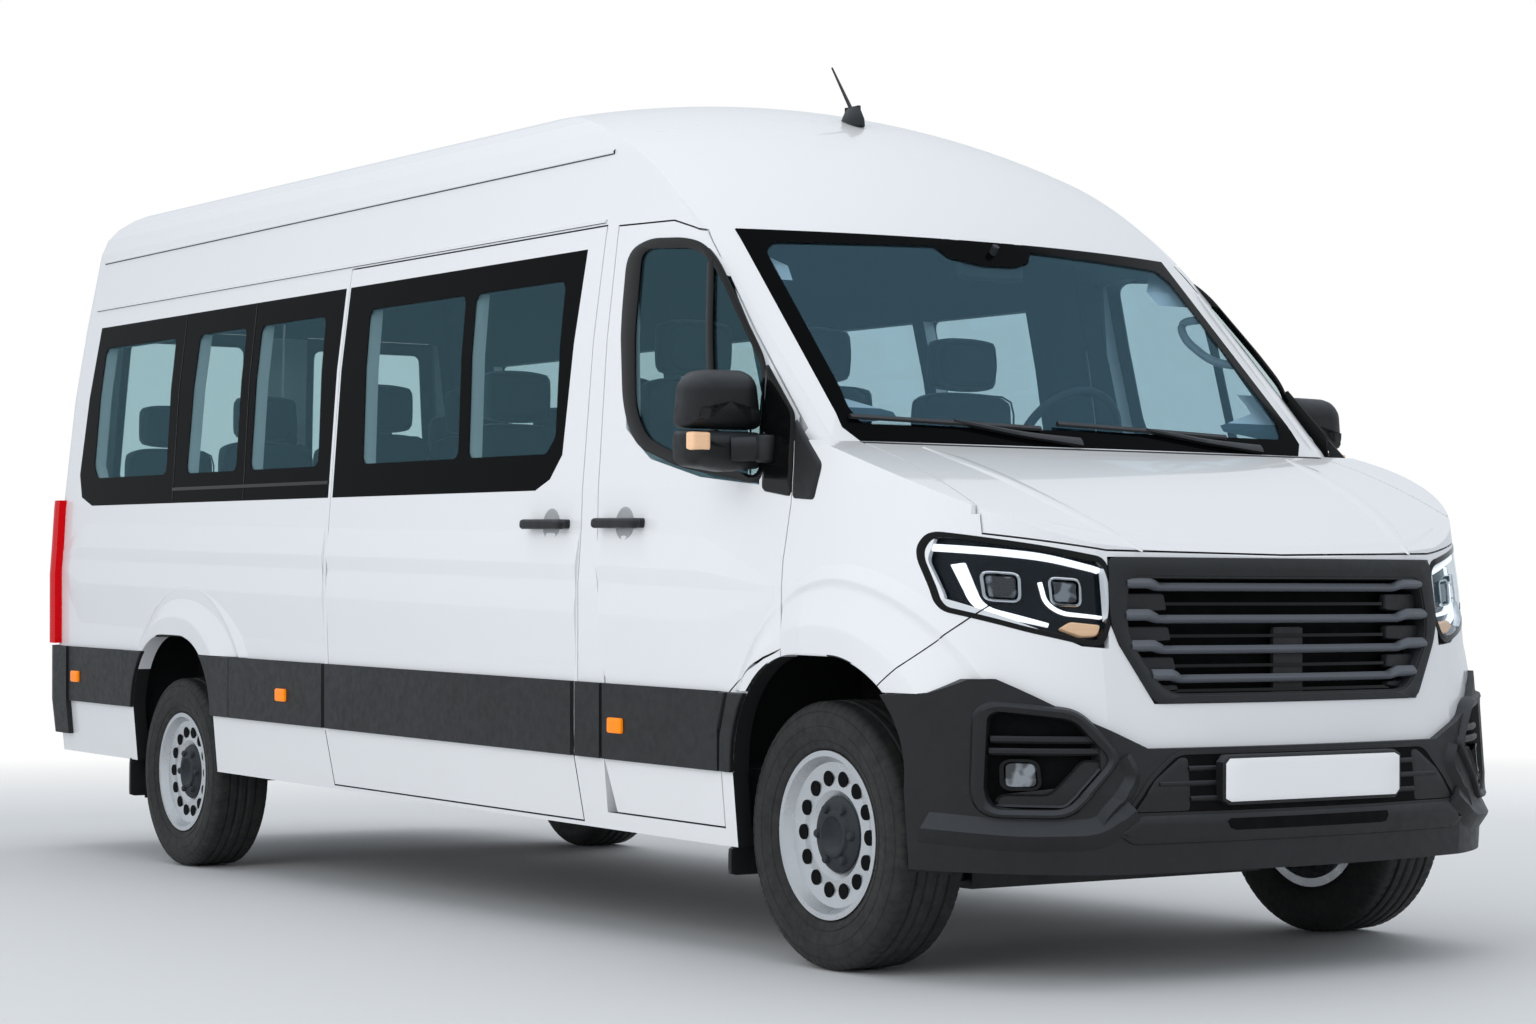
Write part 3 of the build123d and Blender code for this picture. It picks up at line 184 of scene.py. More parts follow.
# Grab handle (x outwards, y, z); door handles: piece, body, side and y; side marker lamps; aerial.
GRAB_HANDLE = ((872, 410, 1690), (835, 505, 1706), (806, 600, 1780), (825, 645, 1838), (842, 565, 1842))
HANDLES = (("front_right", "front_door_right", -1, 990.0), ("front_left", "front_door_left", 1, 990.0),
           ("sliding", "body", -1, 1420.0))
MARKERS_Y = (992.0, 3288.0, 5262.0)
MARKER_Z = 600
MARKER_HALF = (40, 23)         # half length and half height
AERIAL = ((0, 1268, 2508), (0, 1378, 2656))
AERIAL_FOOT = (1262, 2466)     # y and z
# Wipers (x, z): pivot, elbow and tip of the arm, ends of the blade.
WIPER_LINES = (((-60, 1412), (-250, 1428), (-470, 1461), (-800, 1466), (-180, 1450)),
               ((640, 1412), (430, 1428), (210, 1456), (-110, 1466), (520, 1446)))

# Wheels: x of the middle plane, tread grooves, rings (radius, x) moulded on the sidewall, cap.
WHEEL_X = 860.0
GROOVES = (-52, -18, 18, 52)
SIDEWALL_RINGS = ((250, 104.5), (288, 111.4), (326, 108.6))
CAP_PROFILE = ((0.0, 60), (30, 61), (44, 72), (50, 78), (58, 78), (64, 70), (88, 66), (99, 60), (102, 48),
               (98, 44), (0.0, 50))
BOLT_PROFILE = ((0.0, 80), (9, 79), (12, 75), (13, 60), (0.0, 60))
BOLTS = (6, 76)                # how many, and how far from the axle
VENT_PROFILE = ((0.0, 67), (20.5, 67), (20.5, 58), (0.0, 58))
VENTS = (14, 151)              # likewise
STEERING_MIDDLE = (430.0, 690.0, 1430.0)
STEERING_TILT = math.radians(62.0)

# Seats: x of the middle, y of the backrest's foot and how much higher the seat stands.
SEAT_W = 390.0
CUSHION_Z = (835.0, 960.0)
CUSHION_L = 440.0
BACK_T = 105.0
BACK_TOP = 1535.0
HEAD_TOP = 1700.0
HEAD_HALF = 125.0
COVER_VOXEL = 0.013           # metres; the covers are small in every view, behind glass
COVER_WAY = 0.010
COVER_PRESSURE = 4.0
COVER_FRAMES = 20
COVER_SLIM = (6.0, 6.0, 4.0)  # the covers start this much smaller, in millimetres, and swell
PLACES = [(430.0, 1200.0, 100.0), (-650.0, 1110.0, 100.0), (-210.0, 1110.0, 100.0)]
PLACES += [(x, y, 0.0) for y in (2200.0, 3200.0, 4180.0) for x in (-660.0, -265.0, 650.0)]
PLACES += [(x, 5120.0, 0.0) for x in (-660.0, -220.0, 220.0, 660.0)]

# Stage, in metres: each area lamp's place and size, the floor, and the camera.
LAMPS = (("key_lamp", (-9.5, -4.5, 4.6), 7.0), ("top_lamp", (0.5, 0.5, 8.5), 9.0),
         ("rim_lamp", (7.5, 2.5, 5.0), 6.0))
FLOOR_REACH = 60.0
CAMERA_PLACE = (-5.595, -6.716 + AXLE_Y / 1000, 0.927)
CAMERA_TURN = (56.42, 1.98, -0.23)  # yaw, pitch and roll in degrees


def raked(x, y, z):
    """Body-frame millimetres to row-frame metres, arrays of one shape in, (..., 3) out."""
    x, y, z = np.broadcast_arrays(np.asarray(x, float), y, z)
    up = z - TYRE_R
    return np.stack([x, AXLE_Y + y * COS_R - up * SIN_R, TYRE_R + y * SIN_R + up * COS_R], -1) / 1000.0


def half_width(z):
    """Half width of the body at a height: straight between the plan sections."""
    return np.interp(z, LEVEL_Z, LEVEL_X)


def nose_y(x, z):
    """y of the nose at a place in front view: a wide arc in the middle, a tangent corner arc outside."""
    x = np.abs(x)
    side = half_width(z)
    nose = np.interp(z, LEVEL_Z, LEVEL_NOSE)
    join_x = side - CORNER_R + CORNER_R * math.sin(CORNER_JOIN)
    sag = CORNER_Y - CORNER_R * math.cos(CORNER_JOIN)
    wide_r = (join_x ** 2 + sag ** 2) / (2 * sag)
    wide = nose + wide_r - np.sqrt(np.maximum(wide_r ** 2 - x ** 2, 0))
    reach = np.clip(x - (side - CORNER_R), 0, CORNER_R)
    return np.where(x < join_x, wide, nose + CORNER_Y - np.sqrt(CORNER_R ** 2 - reach ** 2))


# ------------------------------------------------------------------ materials
def colour(code):
    """sRGB hex, or a linear colour from a property, to linear RGBA."""
    if not isinstance(code, str):
        return (*tuple(code)[:3], 1.0)
    rgb = np.array([int(code[i:i + 2], 16) for i in (1, 3, 5)]) / 255.0
    lin = np.where(rgb <= 0.04045, rgb / 12.92, ((rgb + 0.055) / 1.055) ** 2.4)
    return (*lin, 1.0)


def add(tree, kind, output=None, **values):
    """Adds one shader node.  A value goes to the node's setting of that name where it has one, and
    otherwise to the input of that name or number (i1), set or linked.  Gives one output or the node."""
    item = tree.nodes.new("ShaderNode" + kind)
    for key, value in values.items():
        if key in item.bl_rna.properties:
            setattr(item, key, value)
            continue
        socket = item.inputs[int(key[1:]) if key[0] == "i" else key.replace("_", " ")]
        if isinstance(value, bpy.types.NodeSocket):
            tree.links.new(value, socket)
        else:
            socket.default_value = value
    return item if output is None else item.outputs[output]


def blank(name):
    """A new material, its emptied tree and the tree's Object coordinates."""
    material = bpy.data.materials.new(name)
    material.use_nodes = True
    material.node_tree.nodes.clear()
    return material, material.node_tree, add(material.node_tree, "TexCoord", "Object")


def speckle(tree, where, scale, detail, low, high, to_low, to_high):
    """Cloudy value: noise at a scale in cells per metre, its part from low to high spread over the
    range from to_low to to_high."""
    noise = add(tree, "TexNoise", "Fac", Vector=where, Scale=scale, Detail=detail)
    return add(tree, "MapRange", 0, Value=noise, From_Min=low, From_Max=high, To_Min=to_low, To_Max=to_high)


def rough_patches(tree, where, scale, low, high):
    """Roughness that wanders between two values."""
    return speckle(tree, where, scale, 3.0, 0.3, 0.7, low, high)


def grain(tree, where, scale, detail, depth):
    """Bump of noise at a scale in cells per metre, its depth in metres."""
    noise = add(tree, "TexNoise", "Fac", Vector=where, Scale=scale, Detail=detail)
    return add(tree, "Bump", 0, Height=noise, Distance=depth, Strength=1.0)


def where_all(tree, *tests):
    """One where every test (value, "LESS_THAN" or "GREATER_THAN", limit) holds, nought elsewhere."""
    product = None
    for value, relation, limit in tests:
        test = add(tree, "Math", 0, operation=relation, i0=value, i1=limit)
        product = test if product is None else add(tree, "Math", 0, operation="MULTIPLY", i0=product, i1=test)
    return product


def white_paint(tint):
    """White two-layer enamel on pressed steel, sprayed and baked: glossy clear coat with a faint
    orange-peel waviness about 3 mm across and a trace of road film towards the sills.  Faces that
    look at the cabin's long axis, and those across it behind the windscreen, are grey lining; those
    that look at a wheel's axle from round it, and the hidden foot of the nose, carry black underbody
    coating.  Places are in metres."""
    cabin_axis, lining_front, screen_slope, screen_foot = 1.3, -2.36, 0.829, -3.49
    cab_rear, cab_half, nose_foot, nose_rear = -0.9, 0.89, 0.42, -2.7
    axle_z, well_radius = 0.45, 0.44
    material, tree, where = blank("baked_white_enamel")
    x, y, z = add(tree, "SeparateXYZ", Vector=where).outputs
    low = add(tree, "MapRange", 0, Value=z, From_Min=0.8, From_Max=0.3, To_Min=0.0, To_Max=0.10)
    patch = add(tree, "TexNoise", "Fac", Vector=where, Scale=3.0, Detail=2.0)
    film = add(tree, "Math", 0, operation="MULTIPLY", i0=low, i1=patch)
    paint = add(tree, "Mix", 2, data_type="RGBA", i0=film, i6=colour(tint), i7=colour("#B4AFA5"))

    normal = add(tree, "NewGeometry", "True Normal")
    above = add(tree, "Math", 0, operation="SUBTRACT", i0=z, i1=cabin_axis)
    away = add(tree, "CombineXYZ", 0, X=x, Z=above)
    facing = add(tree, "VectorMath", "Value", operation="DOT_PRODUCT", i0=away, i1=normal)
    lining = where_all(tree, (facing, "LESS_THAN", -0.05), (y, "GREATER_THAN", lining_front))
    slope = add(tree, "Math", 0, operation="MULTIPLY", i0=z, i1=screen_slope)
    behind = add(tree, "Math", 0, operation="SUBTRACT", i0=y, i1=slope)
    beside = add(tree, "Math", 0, operation="ABSOLUTE", i0=x)
    cab = where_all(tree, (behind, "GREATER_THAN", screen_foot), (facing, "LESS_THAN", 0.15),
                    (y, "LESS_THAN", cab_rear), (z, "GREATER_THAN", cabin_axis),
                    (beside, "LESS_THAN", cab_half))
    lining = add(tree, "Math", 0, operation="MAXIMUM", i0=lining, i1=cab)

    coated = where_all(tree, (z, "LESS_THAN", nose_foot), (y, "LESS_THAN", nose_rear))
    for axle in (AXLE_Y, AXLE_Y + WHEELBASE):
        arm = add(tree, "CombineXYZ", 0, Y=add(tree, "Math", 0, operation="SUBTRACT", i0=axle / 1000, i1=y),
                  Z=add(tree, "Math", 0, operation="SUBTRACT", i0=axle_z, i1=z))
        near = add(tree, "VectorMath", "Value", operation="LENGTH", i0=arm)
        toward = add(tree, "VectorMath", "Value", operation="DOT_PRODUCT", i0=arm, i1=normal)
        well = where_all(tree, (near, "LESS_THAN", well_radius), (toward, "GREATER_THAN", 0.2))
        coated = add(tree, "Math", 0, operation="MAXIMUM", i0=coated, i1=well)

    plain = add(tree, "Math", 0, operation="MAXIMUM", i0=lining, i1=coated)
    lined = add(tree, "Mix", 2, data_type="RGBA", i0=lining, i6=paint, i7=colour("#2D404C"))
    base = add(tree, "Mix", 2, data_type="RGBA", i0=coated, i6=lined, i7=colour("#0C0D0E"))
    rough = add(tree, "MapRange", 0, Value=plain, From_Min=0.0, From_Max=1.0, To_Min=0.3, To_Max=0.7)
    coat = add(tree, "MapRange", 0, Value=plain, From_Min=0.0, From_Max=1.0, To_Min=0.7, To_Max=0.0)
    shader = add(tree, "BsdfPrincipled", 0, Base_Color=base, Roughness=rough, IOR=1.5, Coat_Weight=coat,
                 Coat_Roughness=0.04, Coat_IOR=1.5, Coat_Normal=grain(tree, where, 330.0, 1.0, 0.000008))
    add(tree, "OutputMaterial", Surface=shader)
    return material


def grained_plastic(name, tint, worn, top_light_tint, rough):
    """Moulded polypropylene in charcoal: matt, with a leather-like grain of about 1.2 mm, drawn at
    2.5 mm so that it shows, and slightly greyed in patches by the weather.  Faces that look up are
    painted paler: painted light from above, which makes the upper facets read lighter."""
    material, tree, where = blank(name)
    patch = speckle(tree, where, 5.0, 6.0, 0.35, 0.7, 0.0, 1.0)
    body = add(tree, "Mix", 2, data_type="RGBA", i0=patch, i6=colour(tint), i7=colour(worn))
    # Painted top light: faces that look up get the paler tint, as if lit from above.
    normal = add(tree, "NewGeometry", "Normal")
    painted_top_light = add(tree, "MapRange", 0, Value=add(tree, "SeparateXYZ", "Z", Vector=normal), From_Min=0.05,
                 From_Max=0.6, To_Min=0.0, To_Max=1.0)
    leather = add(tree, "TexVoronoi", 0, feature="F1", Vector=where, Scale=400.0)
    base = add(tree, "Mix", 2, data_type="RGBA", i0=painted_top_light, i6=body, i7=colour(top_light_tint))
    shader = add(tree, "BsdfPrincipled", 0, Base_Color=base, IOR=1.42,
                 Roughness=rough_patches(tree, where, 40.0, rough - 0.06, rough + 0.08),
                 Normal=add(tree, "Bump", 0, Height=leather, Distance=0.00025, Strength=0.6))
    add(tree, "OutputMaterial", Surface=shader)
    return material


def gloss_plastic(name, tint, rough):
    """Injection-moulded, polished plastic such as ABS: smooth and glossy, with faint waviness of the
    mould about 30 mm across."""
    material, tree, where = blank(name)
    shader = add(tree, "BsdfPrincipled", 0, Base_Color=colour(tint), IOR=1.53, Specular_IOR_Level=0.22,
                 Roughness=rough_patches(tree, where, 30.0, rough * 0.8, rough * 1.3),
                 Normal=grain(tree, where, 35.0, 1.0, 0.00008))
    add(tree, "OutputMaterial", Surface=shader)
    return material


def metal_paint(name, tint, rough, metallic=0.0):
    """Painted or plated steel part: even colour, fine sprayed texture about 1.5 mm across."""
    material, tree, where = blank(name)
    darker = tuple(0.93 * v for v in colour(tint)[:3]) + (1.0,)
    patch = add(tree, "TexNoise", "Fac", Vector=where, Scale=18.0, Detail=5.0)
    base = add(tree, "Mix", 2, data_type="RGBA", i0=patch, i6=colour(tint), i7=darker)
    shader = add(tree, "BsdfPrincipled", 0, Base_Color=base, Metallic=metallic,
                 Roughness=rough_patches(tree, where, 25.0, rough - 0.06, rough + 0.08),
                 Normal=grain(tree, where, 650.0, 1.0, 0.00003))
    add(tree, "OutputMaterial", Surface=shader)
    return material


def chrome():
    """Bright chromium plate on plastic: mirror-like with a slight warmth lost to dust."""
    material, tree, where = blank("bright_chromium_plate")
    shader = add(tree, "BsdfPrincipled", 0, Base_Color=colour("#D5D7D9"), Metallic=1.0,
                 Roughness=rough_patches(tree, where, 60.0, 0.06, 0.14))
    add(tree, "OutputMaterial", Surface=shader)
    return material


def window_glass(name, tint, gloss):
    """Toughened float glass, body-tinted, with a fired black ceramic border where the attribute
    "clear" is below nought; the border ends within 3 mm.  The clear part is a thin film: it shows
    the cabin through its tint and mirrors a share of the sky set by gloss."""
    material, tree, where = blank(name)
    edge = add(tree, "Attribute", "Fac", attribute_name="clear")
    mask = add(tree, "MapRange", 0, Value=edge, From_Min=-0.0015, From_Max=0.0015, To_Min=0.0, To_Max=1.0)
    fresnel = add(tree, "Fresnel", 0, IOR=1.52)
    # The glossy layer is pale blue: a painted blue tint on the reflection of the white world.
    film = add(tree, "MixShader", 0, i0=add(tree, "Math", 0, operation="MULTIPLY", i0=fresnel, i1=gloss),
               i1=add(tree, "BsdfTransparent", 0, Color=colour(tint)),
               i2=add(tree, "BsdfGlossy", 0, Color=colour("#A6CDDC"), Roughness=0.015))
    border = add(tree, "BsdfPrincipled", 0, Base_Color=colour("#08090B"), IOR=1.3, Specular_IOR_Level=0.05,
                 Roughness=rough_patches(tree, where, 3.0, 0.05, 0.08))
    add(tree, "OutputMaterial", Surface=add(tree, "MixShader", 0, i0=mask, i1=border, i2=film))
    return material


def lens(name, tint, rough, depth=0.0, shine=0.25):
    """Moulded polycarbonate or acrylic lamp lens: clear coloured plastic with a faint painted glow
    of its own colour though the lamp is unlit, and level optic flutes about 12 mm apart where depth is set."""
    material, tree, where = blank(name)
    # The emission is a painted glow: the lamp is off.
    shader = add(tree, "BsdfPrincipled", Base_Color=colour(tint), Roughness=rough, IOR=1.5,
                 Specular_IOR_Level=shine, Emission_Color=colour(tint), Emission_Strength=0.22)
    if depth:
        flute = add(tree, "TexWave", "Fac", wave_type="BANDS", bands_direction="Z", Vector=where, Scale=26.0)
        bump = add(tree, "Bump", 0, Height=flute, Distance=depth, Strength=1.0)
        tree.links.new(bump, shader.inputs["Normal"])
    add(tree, "OutputMaterial", Surface=shader.outputs[0])
    return material


def tyre_rubber():
    """Vulcanised black rubber: matt carbon black, dusted grey-brown where it meets the road, with a
    fine moulded texture of about 1 mm."""
    material, tree, where = blank("vulcanised_tyre_rubber")
    dust = speckle(tree, where, 22.0, 6.0, 0.35, 0.75, 0.0, 0.55)
    base = add(tree, "Mix", 2, data_type="RGBA", i0=dust, i6=colour("#1B1C1D"), i7=colour("#35332F"))
    shader = add(tree, "BsdfPrincipled", 0, Base_Color=base, IOR=1.52,
                 Roughness=rough_patches(tree, where, 60.0, 0.62, 0.8),
                 Normal=grain(tree, where, 900.0, 2.0, 0.00012))
    add(tree, "OutputMaterial", Surface=shader)
    return material


def seat_cloth():
    """Woven polyester upholstery in dark grey: soft sheen and a fine cross weave, threads of about
    1.5 mm drawn at 4 mm so that they show through the glass."""
    material, tree, where = blank("woven_polyester_upholstery")
    warp = add(tree, "TexWave", "Fac", bands_direction="X", Vector=where, Scale=80.0)
    weft = add(tree, "TexWave", "Fac", bands_direction="Z", Vector=where, Scale=80.0)
    cross = add(tree, "Math", 0, operation="MULTIPLY", i0=warp, i1=weft)
    patch = add(tree, "TexNoise", "Fac", Vector=where, Scale=120.0, Detail=3.0)
    base = add(tree, "Mix", 2, data_type="RGBA", i0=patch, i6=colour("#1C2125"), i7=colour("#2E343A"))
    shader = add(tree, "BsdfPrincipled", 0, Base_Color=base, Roughness=0.85, Sheen_Weight=0.35,
                 Sheen_Roughness=0.4,
                 Normal=add(tree, "Bump", 0, Height=cross, Distance=0.0006, Strength=1.0))
    add(tree, "OutputMaterial", Surface=shader)
    return material


def shadow_plastic():
    """Dark void behind bars and openings: matt black plastic and shadow, with no grain to see."""
    material, tree, where = blank("matt_black_backing")
    shader = add(tree, "BsdfPrincipled", 0, Base_Color=colour("#050506"), Specular_IOR_Level=0.2,
                 Roughness=rough_patches(tree, where, 20.0, 0.8, 0.95))
    add(tree, "OutputMaterial", Surface=shader)
    return material


def light_guide():
    """Frosted acrylic light guide, unlit: white, with a painted glow that makes it bright though
    the lamp is off."""
    material, tree, where = blank("frosted_light_guide")
    # The emission is a painted glow on an unlit part.
    shader = add(tree, "BsdfPrincipled", 0, Base_Color=colour("#F4F6F8"), Emission_Strength=0.9,
                 Roughness=rough_patches(tree, where, 80.0, 0.2, 0.3), Emission_Color=colour("#F4F8FF"))
    add(tree, "OutputMaterial", Surface=shader)
    return material


def projector():
    """Glass projector lens: dark depth with a painted reflection, bright wavy patches in its base colour that
    stand for the bowl behind it.
    """
    material, tree, where = blank("projector_lens_glass")
    facing = add(tree, "LayerWeight", "Facing", Blend=0.35)
    metallic = add(tree, "MapRange", 0, Value=facing, From_Min=0.2, From_Max=0.9, To_Min=0.2, To_Max=0.7)
    # Painted reflection: noise mixes the dark glass with a pale grey.
    patch = speckle(tree, where, 26.0, 1.0, 0.52, 0.62, 0.0, 0.45)
    base = add(tree, "Mix", 2, data_type="RGBA", i0=patch, i6=colour("#15181C"), i7=colour("#B9C0C8"))
    shader = add(tree, "BsdfPrincipled", 0, Base_Color=base, Roughness=0.05, IOR=1.6, Metallic=metallic,
                 Coat_Weight=1.0, Coat_Roughness=0.02)
    add(tree, "OutputMaterial", Surface=shader)
    return material


MATERIALS = {}


def build_materials(finish):
    """Makes each material once, by a short key."""
    MATERIALS.update({
        "paint": white_paint(finish.paint),
        # The fourth colour of each grained plastic is painted top light, the tint of faces that look up.
        "plastic": grained_plastic("grained_polypropylene", finish.trim, "#1E2022", "#3B3D41", 0.48),
        "cabin": grained_plastic("grained_cabin_plastic", "#22262A", "#2C3034", "#363B40", 0.6),
        "piano": gloss_plastic("polished_black_abs", "#0A0B0C", 0.1),
        "lamp_dark": gloss_plastic("blue_black_lamp_shell", "#12161C", 0.18),
        "satin": gloss_plastic("satin_charcoal_abs", "#666A71", 0.35),
        "plate": gloss_plastic("reflective_white_plate", "#FCFCFD", 0.35),
        "void": shadow_plastic(),
        "tinted": window_glass("tinted_safety_glass", finish.glass, 0.2),
        "screen": window_glass("laminated_windscreen_glass", "#E9F3F8", 0.22),
        "cover": window_glass("clear_polycarbonate_cover", "#F8F9FA", 0.12),
        "clear": lens("clear_polycarbonate_lens", "#DDE3E8", 0.04),
        "red": lens("red_acrylic_lens", "#C4060F", 0.2, 0.0003, 0.05),
        "amber": lens("amber_acrylic_lens", "#FF8A08", 0.12),
        "amber_clear": lens("pale_amber_lens", "#E8BE98", 0.15, 0.0004),
        "guide": light_guide(),
        "eye": projector(),
        "steel": metal_paint("black_chassis_enamel", "#17181A", 0.45),
        "cast": metal_paint("cast_iron_and_alloy", "#5A5B5C", 0.5, 0.6),
        "silver": metal_paint("silver_wheel_enamel", "#D2D5D8", 0.3, 0.9),
        # A grey white enamel for painted shade: the handle cups' recess behind the bar.
        "recess": metal_paint("shaded_white_enamel", "#A9ACAF", 0.3),
        "mirror": metal_paint("silvered_mirror_glass", "#C9CED2", 0.08, 1.0),
        "piping": metal_paint("braided_seat_piping", "#1C1F22", 0.8),
        "chrome": chrome(),
        "rubber": tyre_rubber(),
        "cloth": seat_cloth(),
    })


def paint_node(name, key):
    """Gives a CAD node its material."""
    mesh = NODES[name].data
    mesh.materials.clear()
    mesh.materials.append(MATERIALS[key])


NODE_FINISH = {
    "paint": ["side_panel_right", "side_panel_left", "sliding_door", "cab_roof", "main_roof",
              "windscreen_pillars", "front_door_right", "front_door_left", "rear_door_right",
              "rear_door_left", "bonnet", "front_wings", "nose_panel"],
    "tinted": ["side_windows", "front_door_glass_right", "front_door_glass_left", "rear_glass_right",
               "rear_glass_left"],
    "screen": ["windscreen"],
    "plastic": ["grille", "front_bumper", "rear_bumper", "side_mouldings", "door_moulding_right",
                "door_moulding_left", "mirror_right", "mirror_left", "mud_flaps", "cowl"],
    "cabin": ["dashboard", "steering_wheel"],
    "clear": ["headlamps"],
    "red": ["tail_lamps"],
    "plate": ["number_plate"],
    "steel": ["wipers", "aerial", "floor", "bulkhead", "front_suspension", "rear_axle", "knuckle_right",
              "knuckle_left", "fuel_tank", "seat_frames"],
    "cast": ["engine"],
    "cloth": ["seat_cushions", "seat_backs", "headrests"],
    "silver": ["rim_front_right", "rim_front_left", "rim_rear_right", "rim_rear_left"],
    "rubber": ["tyre_front_right", "tyre_front_left", "tyre_rear_right", "tyre_rear_left"],
}


# ------------------------------------------------------------------ surfaces of the body
def unit(vectors):
    """Vectors scaled to length one."""
    return vectors / np.maximum(np.linalg.norm(vectors, axis=-1, keepdims=True), 1e-9)


def on_side(sign):
    """Surface (y, z, out) on one side of the body: x is the half width at z plus the height out."""
    def surface(y, z, out):
        """Point at y and z on the side, moved outwards by out."""
        return np.stack(np.broadcast_arrays(sign * (half_width(z) + out), y, z), -1)
    return surface


def on_hull(sign):
    """Surface (y, z, out) on one side of the body that also rounds the nose's corner: x on the corner's
    arc at y, moved by out along the arc's normal."""
    def surface(y, z, out):
        """Point at y and z on the side or its corner, moved outwards by out."""
        y, z, out = np.broadcast_arrays(np.asarray(y, float), z, out)
        ahead = np.maximum(np.interp(z, LEVEL_Z, LEVEL_NOSE) + CORNER_Y - y, 0)
        reach = np.sqrt(np.maximum(CORNER_R ** 2 - ahead ** 2, 1))
        x = half_width(z) - CORNER_R + reach + out * reach / CORNER_R
        return np.stack([sign * x, y - out * ahead / CORNER_R, z], -1)
    return surface


def on_nose(x, z, out):
    """Surface on the nose: its y at (x, z), moved by out along the surface's own normal."""
    x, z, out = np.broadcast_arrays(np.asarray(x, float), z, out)
    slope_x = nose_y(x + 1, z) - nose_y(x - 1, z)
    slope_z = nose_y(x, z + 1) - nose_y(x, z - 1)
    normal = unit(np.stack([slope_x, np.full_like(slope_x, -2.0), slope_z], -1))
    return np.stack([x, nose_y(x, z), z], -1) + out[..., None] * normal


def on_bumper(x, z, out):
    """The nose surface moved out to the bumper's face."""
    return on_nose(x, z, np.asarray(out) + BUMPER_PROUD)


def circle_through(first, second, third):
    """Middle and radius of the circle through three points: the point as far from each, by two
    linear equations."""
    (ay, az), (by, bz), (cy, cz) = first, second, third
    rows = 2.0 * np.array([[by - ay, bz - az], [cy - ay, cz - az]])
    squares = np.array([by ** 2 - ay ** 2 + bz ** 2 - az ** 2, cy ** 2 - ay ** 2 + cz ** 2 - az ** 2], float)
    y, z = np.linalg.solve(rows, squares)
    return y, z, math.hypot(ay - y, az - z)


def bonnet_z(y):
    """Height of the bonnet: the circle through three points of its profile."""
    middle_y, middle_z, radius = circle_through(*BONNET_ARC)
    return middle_z + np.sqrt(np.maximum(radius ** 2 - (y - middle_y) ** 2, 0))


def on_bonnet(x, y, out):
    """Surface on the bonnet: its height at y, moved by out along the profile's normal."""
    x, y, out = np.broadcast_arrays(np.asarray(x, float), y, out)
    slope = (bonnet_z(y + 1) - bonnet_z(y - 1)) / 2
    normal = unit(np.stack([np.zeros_like(y), -slope, np.ones_like(y)], -1))
    return np.stack([x, y, bonnet_z(y)], -1) + out[..., None] * normal


def on_screen(x, z, out):
    """Surface on the windscreen: a leaning plane bowed back towards its sides, or the roof's steeper
    bowed slope where that lies further back, at the upper corners."""
    x, z, out = np.broadcast_arrays(np.asarray(x, float), z, out)
    rise, run = SCREEN_LEAN
    lean = unit(np.array([0.0, -rise, run]))
    plane = SCREEN_FOOT[0] + (z - SCREEN_FOOT[1]) * run / rise - x ** 2 / 24000 / lean[1]
    fall = math.cos(BROW_SLOPE) * (z - BROW_FOOT[1]) + x ** 2 / 6600
    brow = BROW_FOOT[0] + fall / math.sin(BROW_SLOPE)
    return np.stack([x, np.maximum(plane, brow), z], -1) + out[..., None] * lean


def on_tail(x, z, out):
    """Surface on the tail: its y at z, moved back by out."""
    x, z, out = np.broadcast_arrays(np.asarray(x, float), z, out)
    return np.stack([x, np.interp(z, LEVEL_Z, LEVEL_TAIL) + out, z], -1)


# ------------------------------------------------------------------ outlines and meshes
def rounded(points, radius, count, closed=True):
    """Outline through the points, each corner a parabola that starts radius before it, resampled
    to count evenly spaced points."""
    corner = np.asarray(points, float)
    back, ahead = np.roll(corner, 1, 0) - corner, np.roll(corner, -1, 0) - corner
    reach = np.minimum(np.linalg.norm(back, axis=1), np.linalg.norm(ahead, axis=1))
    cut = np.minimum(radius, 0.49 * reach)[:, None]
    if not closed:
        cut[[0, -1]] = 0
    t = np.linspace(0, 1, 9)[None, :, None]
    first, last = (corner + unit(back) * cut)[:, None], (corner + unit(ahead) * cut)[:, None]
    path = (1 - t) ** 2 * first + 2 * t * (1 - t) * corner[:, None] + t ** 2 * last
    path = path.reshape(-1, corner.shape[1])
    if closed:
        path = np.vstack([path, path[:1]])
    along = np.concatenate([[0], np.cumsum(np.linalg.norm(np.diff(path, axis=0), axis=1))])
    at = np.linspace(0, along[-1], count, endpoint=not closed)
    return np.stack([np.interp(at, along, column) for column in path.T], 1)


def inward(loop, distance):
    """The closed outline moved inwards along its normals."""
    tangent = np.roll(loop, -1, 0) - np.roll(loop, 1, 0)
    x, y = loop.T
    turn = np.sign(np.sum(x * np.roll(y, -1) - y * np.roll(x, -1)))
    return loop + distance * turn * unit(np.stack([-tangent[:, 1], tangent[:, 0]], 1))


def depth_in(points, outline, corner=0.0):
    """Distance of the points inside a closed outline, negative outside: the least distance to its
    edges, signed by winding, with the corners rounded by the given radius."""
    edge = inset_corners(outline, corner)
    along = np.roll(edge, -1, 0) - edge
    away = points[..., None, :] - edge
    part = np.clip(np.sum(away * along, -1) / np.sum(along ** 2, -1), 0, 1)
    gap = np.linalg.norm(away - part[..., None] * along, axis=-1).min(-1)
    above = edge[:, 1] > points[..., None, 1]
    with np.errstate(divide="ignore", invalid="ignore"):
        cut = edge[:, 0] + away[..., 1] * along[:, 0] / along[:, 1]
    inside = np.sum((above != np.roll(above, -1, -1)) & (points[..., None, 0] < cut), -1) % 2 == 1
    return np.where(inside, gap, -gap) + corner


